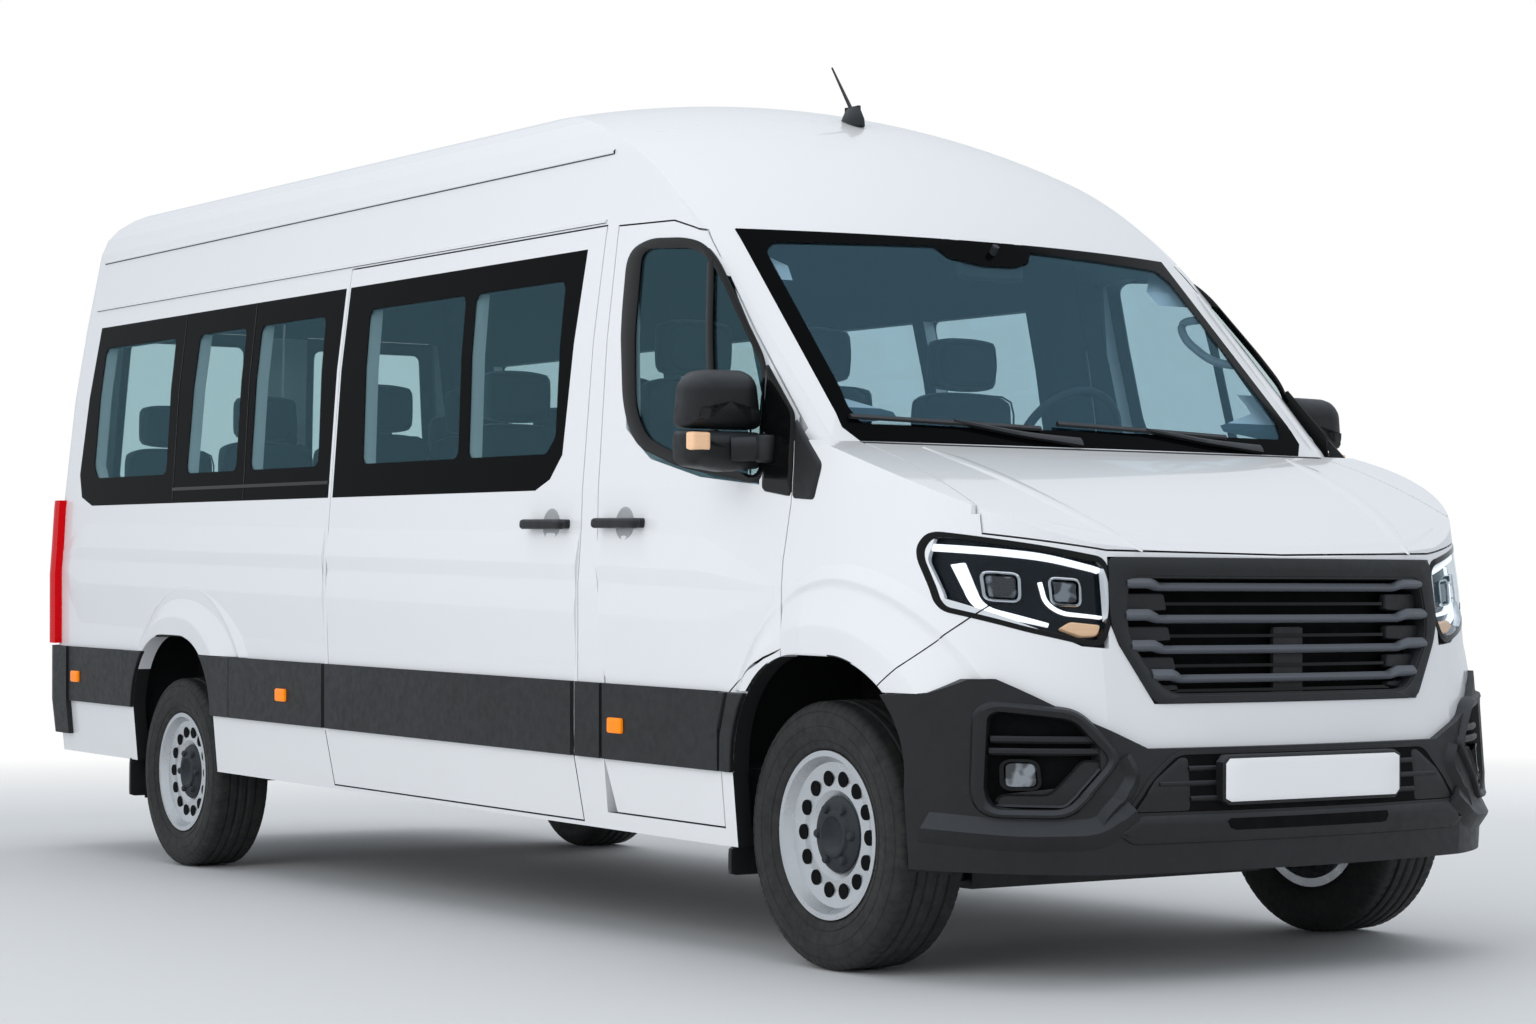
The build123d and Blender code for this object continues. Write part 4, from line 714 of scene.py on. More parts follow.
def inset_corners(outline, distance):
    """A polygon with each edge moved inwards by the distance, corners at the edges' meetings."""
    corner = np.asarray(outline, float)
    x, y = corner.T
    turn = np.sign(np.sum(x * np.roll(y, -1) - y * np.roll(x, -1)))
    ahead = unit(np.roll(corner, -1, 0) - corner)
    normal = turn * np.stack([-ahead[:, 1], ahead[:, 0]], 1)
    before, after = np.roll(normal, 1, 0), normal
    return corner + distance * (before + after) / (1 + np.sum(before * after, 1))[:, None]


def face_grid(rows, cols, start=0):
    """Quads of a grid of rows, closed round its columns."""
    row, col = np.meshgrid(np.arange(rows - 1), np.arange(cols), indexing="ij")
    beside = (col + 1) % cols
    quads = np.stack([row * cols + col, row * cols + beside, (row + 1) * cols + beside,
                      (row + 1) * cols + col], -1)
    return quads.reshape(-1, 4) + start


def make(name, grids, key, body="body", stands_for=(), clear=None, leaned=True, angle=38.0):
    """One piece of the scene from closed grids of points."""
    points = np.concatenate([grid.reshape(-1, 3) for grid in grids])
    starts = np.cumsum([0] + [grid.shape[0] * grid.shape[1] for grid in grids])
    faces = np.concatenate([face_grid(*grid.shape[:2], start) for grid, start in zip(grids, starts)])
    return piece_of(name, points, faces, key, body, stands_for, clear, leaned, angle)


def piece_of(name, points, faces, key, body="body", stands_for=(), clear=None, leaned=True, angle=38.0):
    """One piece from points in millimetres and faces: welds them, turns the faces outwards, gives
    the material and lets the piece ride on a body."""
    points = raked(*points.T) if leaned else points / 1000.0
    mesh = bpy.data.meshes.new(name)
    mesh.from_pydata(points.tolist(), [], faces.tolist())
    if clear is not None:
        mesh.attributes.new("clear", "FLOAT", "POINT").data.foreach_set("value", clear.ravel())
    work = bmesh.new()
    work.from_mesh(mesh)
    bmesh.ops.remove_doubles(work, verts=work.verts, dist=2e-5)
    bmesh.ops.dissolve_degenerate(work, edges=work.edges, dist=1e-6)
    bmesh.ops.recalc_face_normals(work, faces=work.faces)
    work.to_mesh(mesh)
    work.free()
    mesh.shade_smooth()
    mesh.set_sharp_from_angle(angle=math.radians(angle))
    mesh.materials.append(MATERIALS[key])
    piece = bpy.data.objects.new(name, mesh)
    bpy.context.scene.collection.objects.link(piece)
    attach(piece, body)
    if stands_for:
        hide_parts(*stands_for)
    return piece


def pad(loop, surface, profile, rings=5):
    """Raised or sunk panel on a surface: rings shrink from the outline to its centre on the front,
    run down the edge by the profile's (inset, height) steps, and shrink again on the back."""
    centre = loop.mean(0)
    shrink = np.linspace(0, 1, rings)[:-1]
    front, back = inward(loop, profile[0][0]), inward(loop, profile[-1][0])
    rows = [(centre + (front - centre) * part, profile[0][1]) for part in shrink]
    rows += [(inward(loop, distance), height) for distance, height in profile]
    rows += [(centre + (back - centre) * part, profile[-1][1]) for part in shrink[::-1]]
    return np.stack([surface(row[:, 0], row[:, 1], np.full(len(row), height)) for row, height in rows])


def hoop(loop, surface, section):
    """Closed strip round an outline: the section's (inset, height) points in a ring."""
    return np.stack([surface(*inward(loop, distance).T, np.full(len(loop), height))
                     for distance, height in section]).swapaxes(0, 1)[np.r_[:len(loop), 0]]


def trail(path, surface, section, widths=None):
    """Strip along a path on a surface: the section's (side, height) points in a ring at each point,
    closed at both ends on the section's middle."""
    tangent = unit(np.gradient(path, axis=0))
    across = np.stack([-tangent[:, 1], tangent[:, 0]], 1)
    section = np.asarray(section, float)
    width = section[None, :, 0] * (np.ones((len(path), 1)) if widths is None else np.asarray(widths)[:, None])
    at = path[:, None] + across[:, None] * width[..., None]
    points = surface(at[..., 0], at[..., 1], np.broadcast_to(section[:, 1], width.shape))
    return capped(points)


def capped(points):
    """Closes a tube's ends on the middle of its first and last rings."""
    low = np.broadcast_to(points[:1].mean(1, keepdims=True), points[:1].shape)
    high = np.broadcast_to(points[-1:].mean(1, keepdims=True), points[-1:].shape)
    return np.concatenate([low, points, high])


def tube(path, radius, sides=12, flat=1.0, up=(0, 0, 1), closed=False):
    """Round bar along a path in space; flat squeezes it along the up direction; radius may vary."""
    path = np.asarray(path, float)
    tangent = unit(np.roll(path, -1, 0) - np.roll(path, 1, 0) if closed else np.gradient(path, axis=0))
    beside = unit(np.cross(tangent, np.asarray(up, float)))
    over = np.cross(beside, tangent)
    turn = np.linspace(0, 2 * np.pi, sides, endpoint=False)[None, :, None]
    size = np.broadcast_to(np.asarray(radius, float), len(path))[:, None, None]
    points = path[:, None] + size * (np.cos(turn) * beside[:, None] + flat * np.sin(turn) * over[:, None])
    return np.concatenate([points, points[:1]]) if closed else capped(points)


def spun(profile, centre, count=64, wave=None):
    """Profile of (radius, x) points turned about a line along x through the centre; wave may give
    each point its own radius and x, as arrays of (profile, angle)."""
    turn = np.linspace(0, 2 * np.pi, count, endpoint=False)
    profile = np.asarray(profile, float)
    radius, x = np.broadcast_to(profile[:, :1], (len(profile), count)), profile[:, 1:]
    if wave is not None:
        radius = radius + wave(profile, turn)
    return np.stack([np.broadcast_to(x, radius.shape) + centre[0], centre[1] + radius * np.cos(turn),
                     centre[2] + radius * np.sin(turn)], -1)


def pane(z_levels, low_y, high_y, cols, surface, clear_of):
    """Glass slab whose rows run between two edges: front at height 0, back at the glass's thickness
    below, and the "clear" value of each point in metres from clear_of((y, z) points)."""
    z = z_levels[:, None]
    part = np.linspace(0, 1, cols)[None]
    across = low_y(z) + (high_y(z) - low_y(z)) * part
    across = np.concatenate([across, across[:, ::-1]], 1)
    level = np.broadcast_to(z, across.shape)
    depth = np.concatenate([np.zeros_like(part), np.full_like(part, -GLASS_THICK)], 1) * np.ones_like(z)
    closing = np.r_[0, :len(z), len(z) - 1]
    across, level, depth = across[closing], level[closing], depth[closing]
    depth[[0, -1]] = -GLASS_THICK / 2
    return surface(across, level, depth), clear_of(np.stack([across, level], -1)) / 1000.0


# ------------------------------------------------------------------ glass
def both_bands(points):
    """Depth of (y, z) points inside the nearest pane of the side glass."""
    return np.max([depth_in(points, outline, 28.0) for outline in PANES], 0)


def edge_line(table, scale=1.0):
    """Function of the height: an edge's place, straight between the table's (heights, places)."""
    heights, places = table
    return lambda h: scale * np.interp(h, heights, places)


def seen_through_screen(points):
    """Depth of (x, z) points inside the windscreen's clear part, outside its sensor patch."""
    return np.minimum(depth_in(points, SCREEN_CLEAR, 24.0), -depth_in(points, SENSOR_PATCH, 10.0))


def build_glazing():
    """Side glass with a fired black border round its panes, door and rear glass, and windscreen."""
    grids, clears = [], []
    for _, sign in SIDES:
        for low, high in (FRONT_BAND, REAR_BAND):
            grid, clear = pane(SIDE_GLASS_Z, edge_line(low), edge_line(high), 110, on_side(sign), both_bands)
            grids.append(grid)
            clears.append(clear.ravel())
    make("side_glass", grids, "tinted", stands_for=("side_windows",), clear=np.concatenate(clears))

    grid, clear = pane(np.linspace(1402.5, 2031, 48), edge_line(SCREEN_EDGE, -1.0), edge_line(SCREEN_EDGE),
                       90, on_screen, seen_through_screen)
    make("windscreen_glass", [grid], "screen", stands_for=("windscreen",), clear=clear)

    for side, sign in SIDES:
        slab = pad(rounded(DOOR_GLASS, 22, 96), on_side(sign), [(0, -1), (0, -5)])
        make(f"door_glass_{side}", [slab], "tinted", f"front_door_{side}", (f"front_door_glass_{side}",),
             np.full(slab.shape[:2], 0.05))

        def seen(points, sign=sign):
            """Depth of (x, z) points inside the clear part of this side's rear glass."""
            return depth_in(points, [(sign * x, z) for x, z in REAR_CLEAR], 30.0)
        low, high = (edge_line(table, sign) for table in REAR_EDGES)
        grid, clear = pane(np.linspace(1341, 2039, 40), low, high, 44, on_tail, seen)
        make(f"rear_glass_clear_{side}", [grid], "tinted", f"rear_door_{side}", (f"rear_glass_{side}",),
             clear)


def between(outer, inner, surface, low, high):
    """Closed frame between two outlines of as many points, its face raised from low to high."""
    loops = ((outer, low), (outer, high - 1), (0.94 * outer + 0.06 * inner, high),
             (0.06 * outer + 0.94 * inner, high), (inner, high - 1), (inner, low))
    grid = np.stack([surface(*loop.T, np.full(len(loop), height)) for loop, height in loops], 1)
    return grid[np.r_[:len(outer), 0]]


def build_window_trim():
    """Black frame round the door window, its divider, the corner behind the mirror, and the seams
    and lower rail of the side glass."""
    divider = [(-17, -4), (-17, 2), (-14, 3), (14, 3), (17, 2), (17, -4)]
    seam = [(-2.5, -1), (-2.5, 1.6), (2.5, 1.6), (2.5, -1)]
    rail = [(-7, 0), (-6, 4), (0, 5), (6, 4), (7, 0)]
    corner = [(4, 4), (0, 1), (0, -3)]
    seams, rails = [], []
    for side, sign in SIDES:
        door = on_side(sign)
        frame_band = between(rounded(SEAL_OUTER, 70, 160), rounded(SEAL_INNER, 55, 160), door, -4, 2.5)
        bar = trail(rounded(WINDOW_BAR, 0, 12, False), door, divider)
        sail = pad(rounded(SAIL_DOOR, 14, 60), door, corner)
        make(f"window_frame_{side}", [frame_band, bar, sail], "piano", f"front_door_{side}")
        make(f"pillar_corner_{side}", [pad(rounded(SAIL_BODY, 12, 60), door, corner)], "plastic")
        for foot, top in GLASS_SEAMS:
            seams.append(trail(rounded([(foot, 1292), (top, 2016)], 0, 24, False), door, seam))
        rails.append(trail(rounded(GLASS_RAIL, 0, 40, False), door, rail))
    make("side_glass_seams", seams, "rubber")
    make("side_glass_rails", rails, "piano")


# ------------------------------------------------------------------ wheels
def tread_cut(profile, turn):
    """Depth cut from the tyre's outer band: four grooves round it, and sipes across the shoulders."""
    radius, x = profile[:, :1], profile[:, 1:]
    grooves = sum(np.exp(-((x - at) / 4.2) ** 4) for at in GROOVES)
    outside = 1 / (1 + np.exp(-(radius - 336) / 2.5))
    sipes = np.clip(np.cos(72 * turn + 0.02 * x) - 0.80, 0, 1) / 0.2 * (np.abs(x) > 58)
    return -outside * (7.5 * np.clip(grooves, 0, 1) + 4.0 * sipes)


def tyre_profile():
    """Half of the tyre's (radius, x) section, bead to crown, mirrored into a closed section."""
    x = np.array([84, 92, 97, 103, 108, 111.5, 112.5, 111.0, 108, 104, 99.5])
    radius = np.array([223.4, 226, 233, 246, 264, 284, 300, 316, 328, 338, 345])
    x = np.concatenate([x, [93, 86], np.arange(78, -1, -4)])
    radius = np.concatenate([radius, [350.5, 353.5], 356 - 2.5 * (np.arange(78, -1, -4) / 78.0) ** 2])
    half = np.stack([radius, x], 1)
    full = np.vstack([half, half[::-1][1:] * [1, -1]])
    inner = np.array([[236, -84], [300, -98], [336, -90], [341, 0], [336, 90], [300, 98], [236, 84],
                      [223.4, 84]])
    return np.vstack([full, inner])


def around(centre, count, radius):
    """Centres of so many like parts on a circle round the wheel's centre."""
    x, y, z = centre
    return [(x, y + radius * math.cos(turn), z + radius * math.sin(turn))
            for turn in np.arange(count) * 2 * np.pi / count]


def build_wheels():
    """Ribbed tyres in place of the plain ones, and each wheel's dark cap with its bolt bosses."""
    for name, sign, y in WHEELS:
        centre = (sign * WHEEL_X, AXLE_Y + y, TYRE_R)
        body = f"wheel_{name}"

        def outboard(profile, sign=sign):
            """The profile with its x on the wheel's outer side."""
            return [(radius, sign * x) for radius, x in profile]
        make(f"tyre_ribbed_{name}", [spun(tyre_profile(), centre, 432, tread_cut)], "rubber", body,
             (f"tyre_{name}",), leaned=False, angle=50)
        rings = [spun(outboard([(rad - 1.4, at), (rad, at + 1.6), (rad + 1.4, at), (rad, at - 2),
                                (rad - 1.4, at)]), centre, 128) for rad, at in SIDEWALL_RINGS]
        make(f"tyre_rings_{name}", rings, "rubber", body, leaned=False)
        vents = [spun(outboard(VENT_PROFILE), at, 32) for at in around(centre, *VENTS)]
        make(f"wheel_vents_{name}", vents, "void", body, leaned=False)
        bolts = [spun(outboard(BOLT_PROFILE), at, 16) for at in around(centre, *BOLTS)]
        make(f"wheel_cap_{name}", [spun(outboard(CAP_PROFILE), centre, 96)] + bolts, "cabin", body,
             leaned=False)


# ------------------------------------------------------------------ lamps
def both_sides(points, sign):
    """Outline (x, z) of the right side, or its mirror image."""
    return [(-sign * x, z) for x, z in points]


def build_headlamps():
    """Dark shell, black rim, white light guides, two ringed projectors, turn signal, clear cover, and
    the wing's corner behind the lamp."""
    band = [(-1, -8), (-1, 0), (-0.7, 2), (0.7, 2), (1, 0), (1, -8)]
    ring = [(-3, -36), (-3, -14), (0, -11), (3, -14), (4, -36)]
    eye = [(14, -17), (9, -19), (5, -26), (5, -36)]
    strips = ((LAMP_BROW, 9, -10, LAMP_TAPER[0]), (LAMP_ELBOW, 12, -22, LAMP_TAPER[1]),
              (LAMP_HOOK, 5, -16, LAMP_TAPER[0]))
    shells, rims, guides, rings, eyes, turns, covers, fillers = [], [], [], [], [], [], [], []
    for _, sign in SIDES:
        outer = rounded(both_sides(LAMP_OUTER, sign), 26, 160)
        inner = rounded(both_sides(LAMP_INNER, sign), 22, 160)
        filler = rounded(both_sides(LAMP_FILLER, sign), 12, 80)
        shells.append(pad(outer, on_nose, [(1, -34), (0.5, -36), (0.5, -58)], 12))
        fillers.append(pad(filler, on_nose, [(0, 0.6), (0, -20)]))
        rims.append(between(outer, inner, on_nose, -40, 1.5))
        covers.append(pad(inner, on_nose, [(1, 0.5), (0.5, -2)], 12))
        for path, width, height, taper in strips:
            line = rounded(both_sides(path, sign), 40, 60, False)
            widths = width * np.interp(np.linspace(0, 1, 60), (0, 0.55, 1), taper)
            section = [(beside, out * 1.5 + height) for beside, out in band]
            guides.append(trail(line, on_nose, section, widths))
        for x, z, half_x, half_z in LAMP_EYES:
            box = [(x - half_x, z + half_z), (x + half_x, z + half_z - 5), (x + half_x - 3, z - half_z),
                   (x - half_x + 2, z - half_z + 4)]
            loop = rounded(both_sides(box, sign), 17, 64)
            rings.append(hoop(loop, on_nose, ring))
            eyes.append(pad(loop, on_nose, eye, 8))
        signal = rounded(both_sides(LAMP_TURN, sign), 8, 48)
        turns.append(pad(signal, on_nose, [(3, -8), (0, -12), (0, -36)]))
    make("headlamp_shells", shells, "lamp_dark", stands_for=("headlamps",))
    make("headlamp_rims", rims, "piano")
    make("wing_corners", fillers, "paint")
    make("headlamp_guides", guides, "guide")
    make("headlamp_rings", rings, "chrome")
    make("headlamp_projectors", eyes, "eye")
    make("headlamp_turn_signals", turns, "amber_clear")
    points = sum(cover.shape[0] * cover.shape[1] for cover in covers)
    make("headlamp_covers", covers, "cover", clear=np.full(points, 0.05))


# ------------------------------------------------------------------ front
def level_line(z, half, count):
    """Straight line (x, z) across the front at one height."""
    return np.stack([np.linspace(-half, half, count), np.full(count, z)], 1)


def build_grille():
    """Deep frame with a raised edge, four bright-edged bars that flare at their ends, thin bars
    between them, side vanes, a middle block and the dark radiator behind."""
    bar = [(-8, -34), (-11, -12), (-7, 0), (-2, 4), (10, -8), (11, -16), (8, -34)]
    wire = [(-4, -34), (-4, -26), (4, -26), (4, -34)]
    bend_from, bend_length, bend_rise, bend_drop = 0.80, 0.06, 11, 8
    outer, inner = rounded(GRILLE_OUTER, 24, 200), rounded(GRILLE_INNER, 34, 200)
    frame_band = between(outer, inner, on_nose, -30, 6)
    lip = between(inner, inward(inner, 6), on_nose, -60, 3)
    bars = []
    for height, half in GRILLE_BARS:
        across = np.linspace(-1, 1, 61)
        bend = np.clip((np.abs(across) - bend_from) / bend_length, 0, 1)
        path = np.stack([across * half, height + bend_rise * bend], 1)
        grid = trail(path, on_nose, bar, 1 + 0.35 * bend)
        grid[..., 1] -= np.r_[bend[:1], bend, bend[-1:]][:, None] * bend_drop
        bars.append(grid)
    make("grille_frame", [frame_band, lip], "plastic", stands_for=("grille",))
    make("grille_bars", bars, "satin")
    make("grille_wires", [trail(level_line(z, half, 21), on_nose, wire) for z, half in GRILLE_WIRES], "piano")
    vanes = []
    for _, sign in SIDES:
        for low, high, near, far in GRILLE_VANES:
            vane = [(sign * near, low), (sign * far, low + 8), (sign * (far + 6), high), (sign * near, high)]
            vanes.append(pad(rounded(vane, 6, 40), on_nose, [(3, -20), (0, -24), (0, -40)]))
    vanes.append(pad(rounded(GRILLE_BLOCK, 5, 40), on_nose, [(2, -32), (0, -42)]))
    make("grille_vanes", vanes, "plastic")
    make("radiator_face", [pad(inward(inner, -4), on_nose, [(0, -64), (0, -70)])], "void")


def build_fog_lamps():
    """Recess round each fog lamp: a broad frame that falls inwards, bars, a shelf, bezel and lens."""
    steps = ((-3, 0.0), (12, 0.24), (14, 0.5), (6, 0.94), (-38, 1.0), (-38, 0.0))
    bar = [(-9, -34), (-9, -12), (-4, -6), (4, -6), (9, -12), (9, -34)]
    frames, bars, dark, fogs, bezels = [], [], [], [], []
    for _, sign in SIDES:
        outer = rounded(both_sides(FOG_OUTER, sign), 34, 120)
        inner = rounded(both_sides(FOG_INNER, sign), 26, 120)
        rings = [on_bumper(*(outer * (1 - part) + inner * part).T, np.full(len(outer), height))
                 for height, part in steps]
        frames.append(np.stack(rings, 1)[np.r_[:len(outer), 0]])
        dark.append(pad(inner, on_bumper, [(0, -33.5), (0, -36)]))
        for z, near, far in FOG_BARS:
            path = np.stack([np.linspace(-sign * near, -sign * far, 16), np.full(16, z)], 1)
            bars.append(trail(path, on_bumper, bar))
        loop = rounded(both_sides(FOG_LENS, sign), 16, 64)
        bezels.append(between(inward(loop, -8), loop, on_bumper, -34, -8))
        fogs.append(pad(loop, on_bumper, [(3, -12), (0, -16), (0, -34)]))
        shelf = rounded(both_sides(FOG_SHELF, sign), 12, 60)
        bars.append(pad(shelf, on_bumper, [(22, -30), (0, -4), (0, -10)]))
    make("fog_lamp_frames", frames, "plastic")
    make("fog_lamp_bars", bars, "plastic")
    make("fog_lamp_recess", dark, "void")
    make("fog_lamp_bezels", bezels, "piano")
    make("fog_lamp_lenses", fogs, "eye")


def on_plate(x, z, out):
    """Upright plane of the number plate, moved forwards by out."""
    return np.stack([x, PLATE_Y - out, z], -1)


def build_bumper():
    """Lower intake with its bars and slats, creases, skid lip and number plate."""
    wire = [(-6, -14), (-7, 2), (-3, 6), (2, 6), (7, 0), (6, -14)]
    long_crease = ((-44, -2), (-6, 20), (0, 22), (42, -2))
    short_crease = ((-24, -2), (0, 15), (24, -2))
    intake = rounded(INTAKE, 26, 160)
    rim = between(inward(intake, -10), intake, on_bumper, -16, 3)
    wires = [trail(level_line(z, half, 31), on_bumper, wire) for z, half in INTAKE_BARS]
    make("intake_rim", [rim] + wires, "plastic")
    make("intake_back", [pad(intake, on_bumper, [(0, 1.2), (0, -2)])], "void")
    pieces = [pad(rounded(SKID_LIP, 12, 160), on_bumper, [(26, 9), (10, 7), (3, 4), (0, -2)], 10)]
    for _, sign in SIDES:
        slat = rounded(both_sides(INTAKE_SLATS, sign), 10, 60)
        pieces.append(pad(slat, on_bumper, [(3, 2.2), (0, 1.5), (0, 0)]))
        low, steep = (both_sides(points, sign) for points in CREASES)
        crease = [(-sign * beside, out) for beside, out in long_crease]
        pieces.append(trail(rounded(low, 40, 60, False), on_bumper, crease))
        pieces.append(trail(rounded(steep, 30, 60, False), on_bumper, short_crease))
    make("skid_lip", pieces, "plastic")
    make("skid_recess", [pad(rounded(SKID_RECESS, 8, 60), on_bumper, [(0, 9.6), (0, 8)])], "void")
    plate = rounded(PLATE, 8, 64)
    make("plate_holder", [pad(inward(plate, -9), on_plate, [(4, 0), (0, -3), (0, -30)])], "plastic")
    face = pad(plate, on_plate, [(2, 3), (0, 2), (0, 0)])
    make("plate_face", [face], "plate", stands_for=("number_plate",))


# ------------------------------------------------------------------ bodywork
def side_line(ends, count=80):
    """Straight line (y, z) along the side between two ends."""
    return np.stack([np.linspace(*column, count) for column in zip(*ends)], 1)


def build_bodywork():
    """Pressed lines: bonnet ridges, bonnet lip, roof rib and gutter."""
    ridge = [(-1, -0.5), (-0.6, 1.2), (0, 2.4), (0.6, 1.2), (1, -0.5)]
    lip = [(-1, -0.5), (-0.2, 2.0), (0.1, 2.2), (1, -0.5)]
    along = (0, 0.15, 0.85, 1)
    widths = np.interp(np.linspace(0, 1, 60), along, (4, 30, 34, 6))
    lines = [trail(rounded([(sign * x, y) for x, y in BONNET_RIDGE], 90, 60, False), on_bonnet, ridge, widths)
             for _, sign in SIDES]
    make("bonnet_ridges", lines, "paint", "bonnet_lid")
    widths = np.interp(np.linspace(0, 1, 80), along, (6, 30, 30, 6))
    make("bonnet_lip", [trail(rounded(BONNET_LIP, 90, 80, False), on_bonnet, lip, widths)], "paint",
         "bonnet_lid")
    rib = [(-9, -1), (-5, 5), (0, 7), (5, 5), (9, -1)]
    gutter = [(-6, -1), (-4, 5), (3, 6), (6, -1)]
    make("roof_ribs", [trail(side_line(ROOF_RIB), on_side(sign), rib) for _, sign in SIDES], "paint")
    make("gutter_lines", [trail(side_line(GUTTER), on_side(sign), gutter) for _, sign in SIDES], "paint")


def build_waistlines():
    """Pressed waistline on each side: a crease that catches the light above and below it, cut where
    the doors and the panels meet, and faded out towards both ends of the vehicle."""
    section = [(-275, HIDDEN), (-180, 3.0), (-100, 8.0), (-88, 8.2), (-6, 0.3), (2, 0.3), (44, 10.0),
               (52, 10.0), (150, HIDDEN)]
    for name, sign, low, high, lean_low, lean_high in WAISTLINES:
        y = np.linspace(low, high, 60)
        path = np.stack([y, np.interp(y, *WAIST_PATH)], 1)
        lean = np.interp(y, (low, high), (lean_low, lean_high))
        fade = np.interp(y, *WAIST_FADE)

        def sheared(along, z, out, lean=lean, sign=sign, fade=fade):
            """The side, with the strip leant along y by its height and its relief faded."""
            height = np.where(out > 0, FLARE_SEAT + out * fade[:, None], HIDDEN)
            return on_side(sign)(along + (z - 1000) * lean[:, None], z, height)
        body = name if name.startswith("front_door") else "body"
        make(f"waistline_{name}", [trail(path, sheared, section, 0.25 + 0.75 * fade)], "paint", body)


def circle(first, top, last, count=400):
    """Points on the circle through three points, from the first to the last by way of the top."""
    y, z, radius = circle_through(first, top, last)
    start, end = (math.atan2(b - z, a - y) % (2 * math.pi) for a, b in (first, last))
    turn = np.linspace(start, end, count)
    return np.array([y, z]) + radius * np.stack([np.cos(turn), np.sin(turn)], 1)


def arch_edge(axle, top, low):
    """Edge of a wheel arch from its front foot to its rear foot at the height low: a gateway with
    rounded corners."""
    start = math.asin(max(low - top + ARCH_CORNER, 0.0) / ARCH_CORNER)
    turn = np.linspace(start, math.pi / 2, 200)
    y = ARCH_HALF - ARCH_CORNER + ARCH_CORNER * np.cos(turn)
    z = top - ARCH_CORNER + ARCH_CORNER * np.sin(turn)
    edge = np.concatenate([np.stack([axle - y, z], 1), np.stack([axle + y, z], 1)[::-1]])
    if low < top - ARCH_CORNER:
        edge = np.concatenate([[(axle - ARCH_HALF, low)], edge, [(axle + ARCH_HALF, low)]])
    return edge


def rays(inner, outer, part):
    """Points on the straight lines from an inner to an outer curve, at the parts of the way."""
    return inner[:, None] * (1 - part) + outer[:, None] * part


def flare(inner, outer, surface, low=0.0, high=FLARE_REACH, fade=((0, 1), (1, 1))):
    """Band from an arch's edge out to a wider curve: at each point its height follows FLARE_PROFILE
    over the part of the way, between the parts low and high, times a fade along y, and it drops
    behind the panel."""
    low, high = (np.broadcast_to(v, len(inner))[:, None] for v in (low, high))
    part = low + (high - low) * np.linspace(0, 1, 53)
    height = np.interp(part, *FLARE_PROFILE)
    at = rays(inner, outer, np.concatenate([part, part[:, -1:], part[:, :1]], 1)[..., None])
    height = np.where(height > 0, FLARE_SEAT + height * np.interp(at[:, :-2, 0], *fade), HIDDEN)
    height = np.pad(height, ((0, 0), (0, 2)), constant_values=-4.0)
    return capped(surface(at[..., 0], at[..., 1], height))


def wing_seam(ahead, hull):
    """Seam of the wing, which climbs over the flare where it crosses it: at each point it takes the
    flare's height at the nearest point of the flare's rays."""
    line = rounded(WING_SEAM, 60, 60, False)
    part = np.linspace(0, FLARE_REACH, 400)
    away = np.linalg.norm(rays(*ahead, part[:, None])[None] - line[:, None, None], axis=-1).reshape(60, -1)
    rise = np.interp(part[away.argmin(1) % len(part)], *FLARE_PROFILE)
    lift = np.maximum(np.where(away.min(1) < 8, rise, 0.0), 0)

    def lifted(y, z, out):
        """The hull, moved outwards by the flare's height there."""
        return hull(y, z, out + lift[:, None])
    return trail(line, lifted, [(-1.6, -1), (-1.6, 0.8), (1.6, 0.8), (1.6, -1)])


def door_flare(side, behind, hull):
    """Splits the flare behind the front wheel along the door's foot: makes the door's share as a
    piece on the door and gives back the sill's, with a gap between them."""
    part = np.linspace(0, FLARE_REACH, 400)
    ray = rays(*behind, part[:, None])
    beyond = ray[..., 1] > np.interp(ray[..., 0], *zip(*DOOR_FOOT))
    first = np.where(beyond.any(1), part[beyond.argmax(1)], FLARE_REACH + 0.02)
    gap = DOOR_GAP / np.linalg.norm(behind[1] - behind[0], axis=1)
    keep = first < FLARE_REACH - 0.04
    share = flare(behind[0][keep], behind[1][keep], hull, (first + 0.1 * gap)[keep],
                  fade=((150, 260), (0.1, 0.75)))
    make(f"door_flare_{side}", [share], "paint", f"front_door_{side}")
    return flare(*behind, hull, 0.0, np.minimum(first - gap, FLARE_REACH), ((150, 260), (0.35, 0.6)))


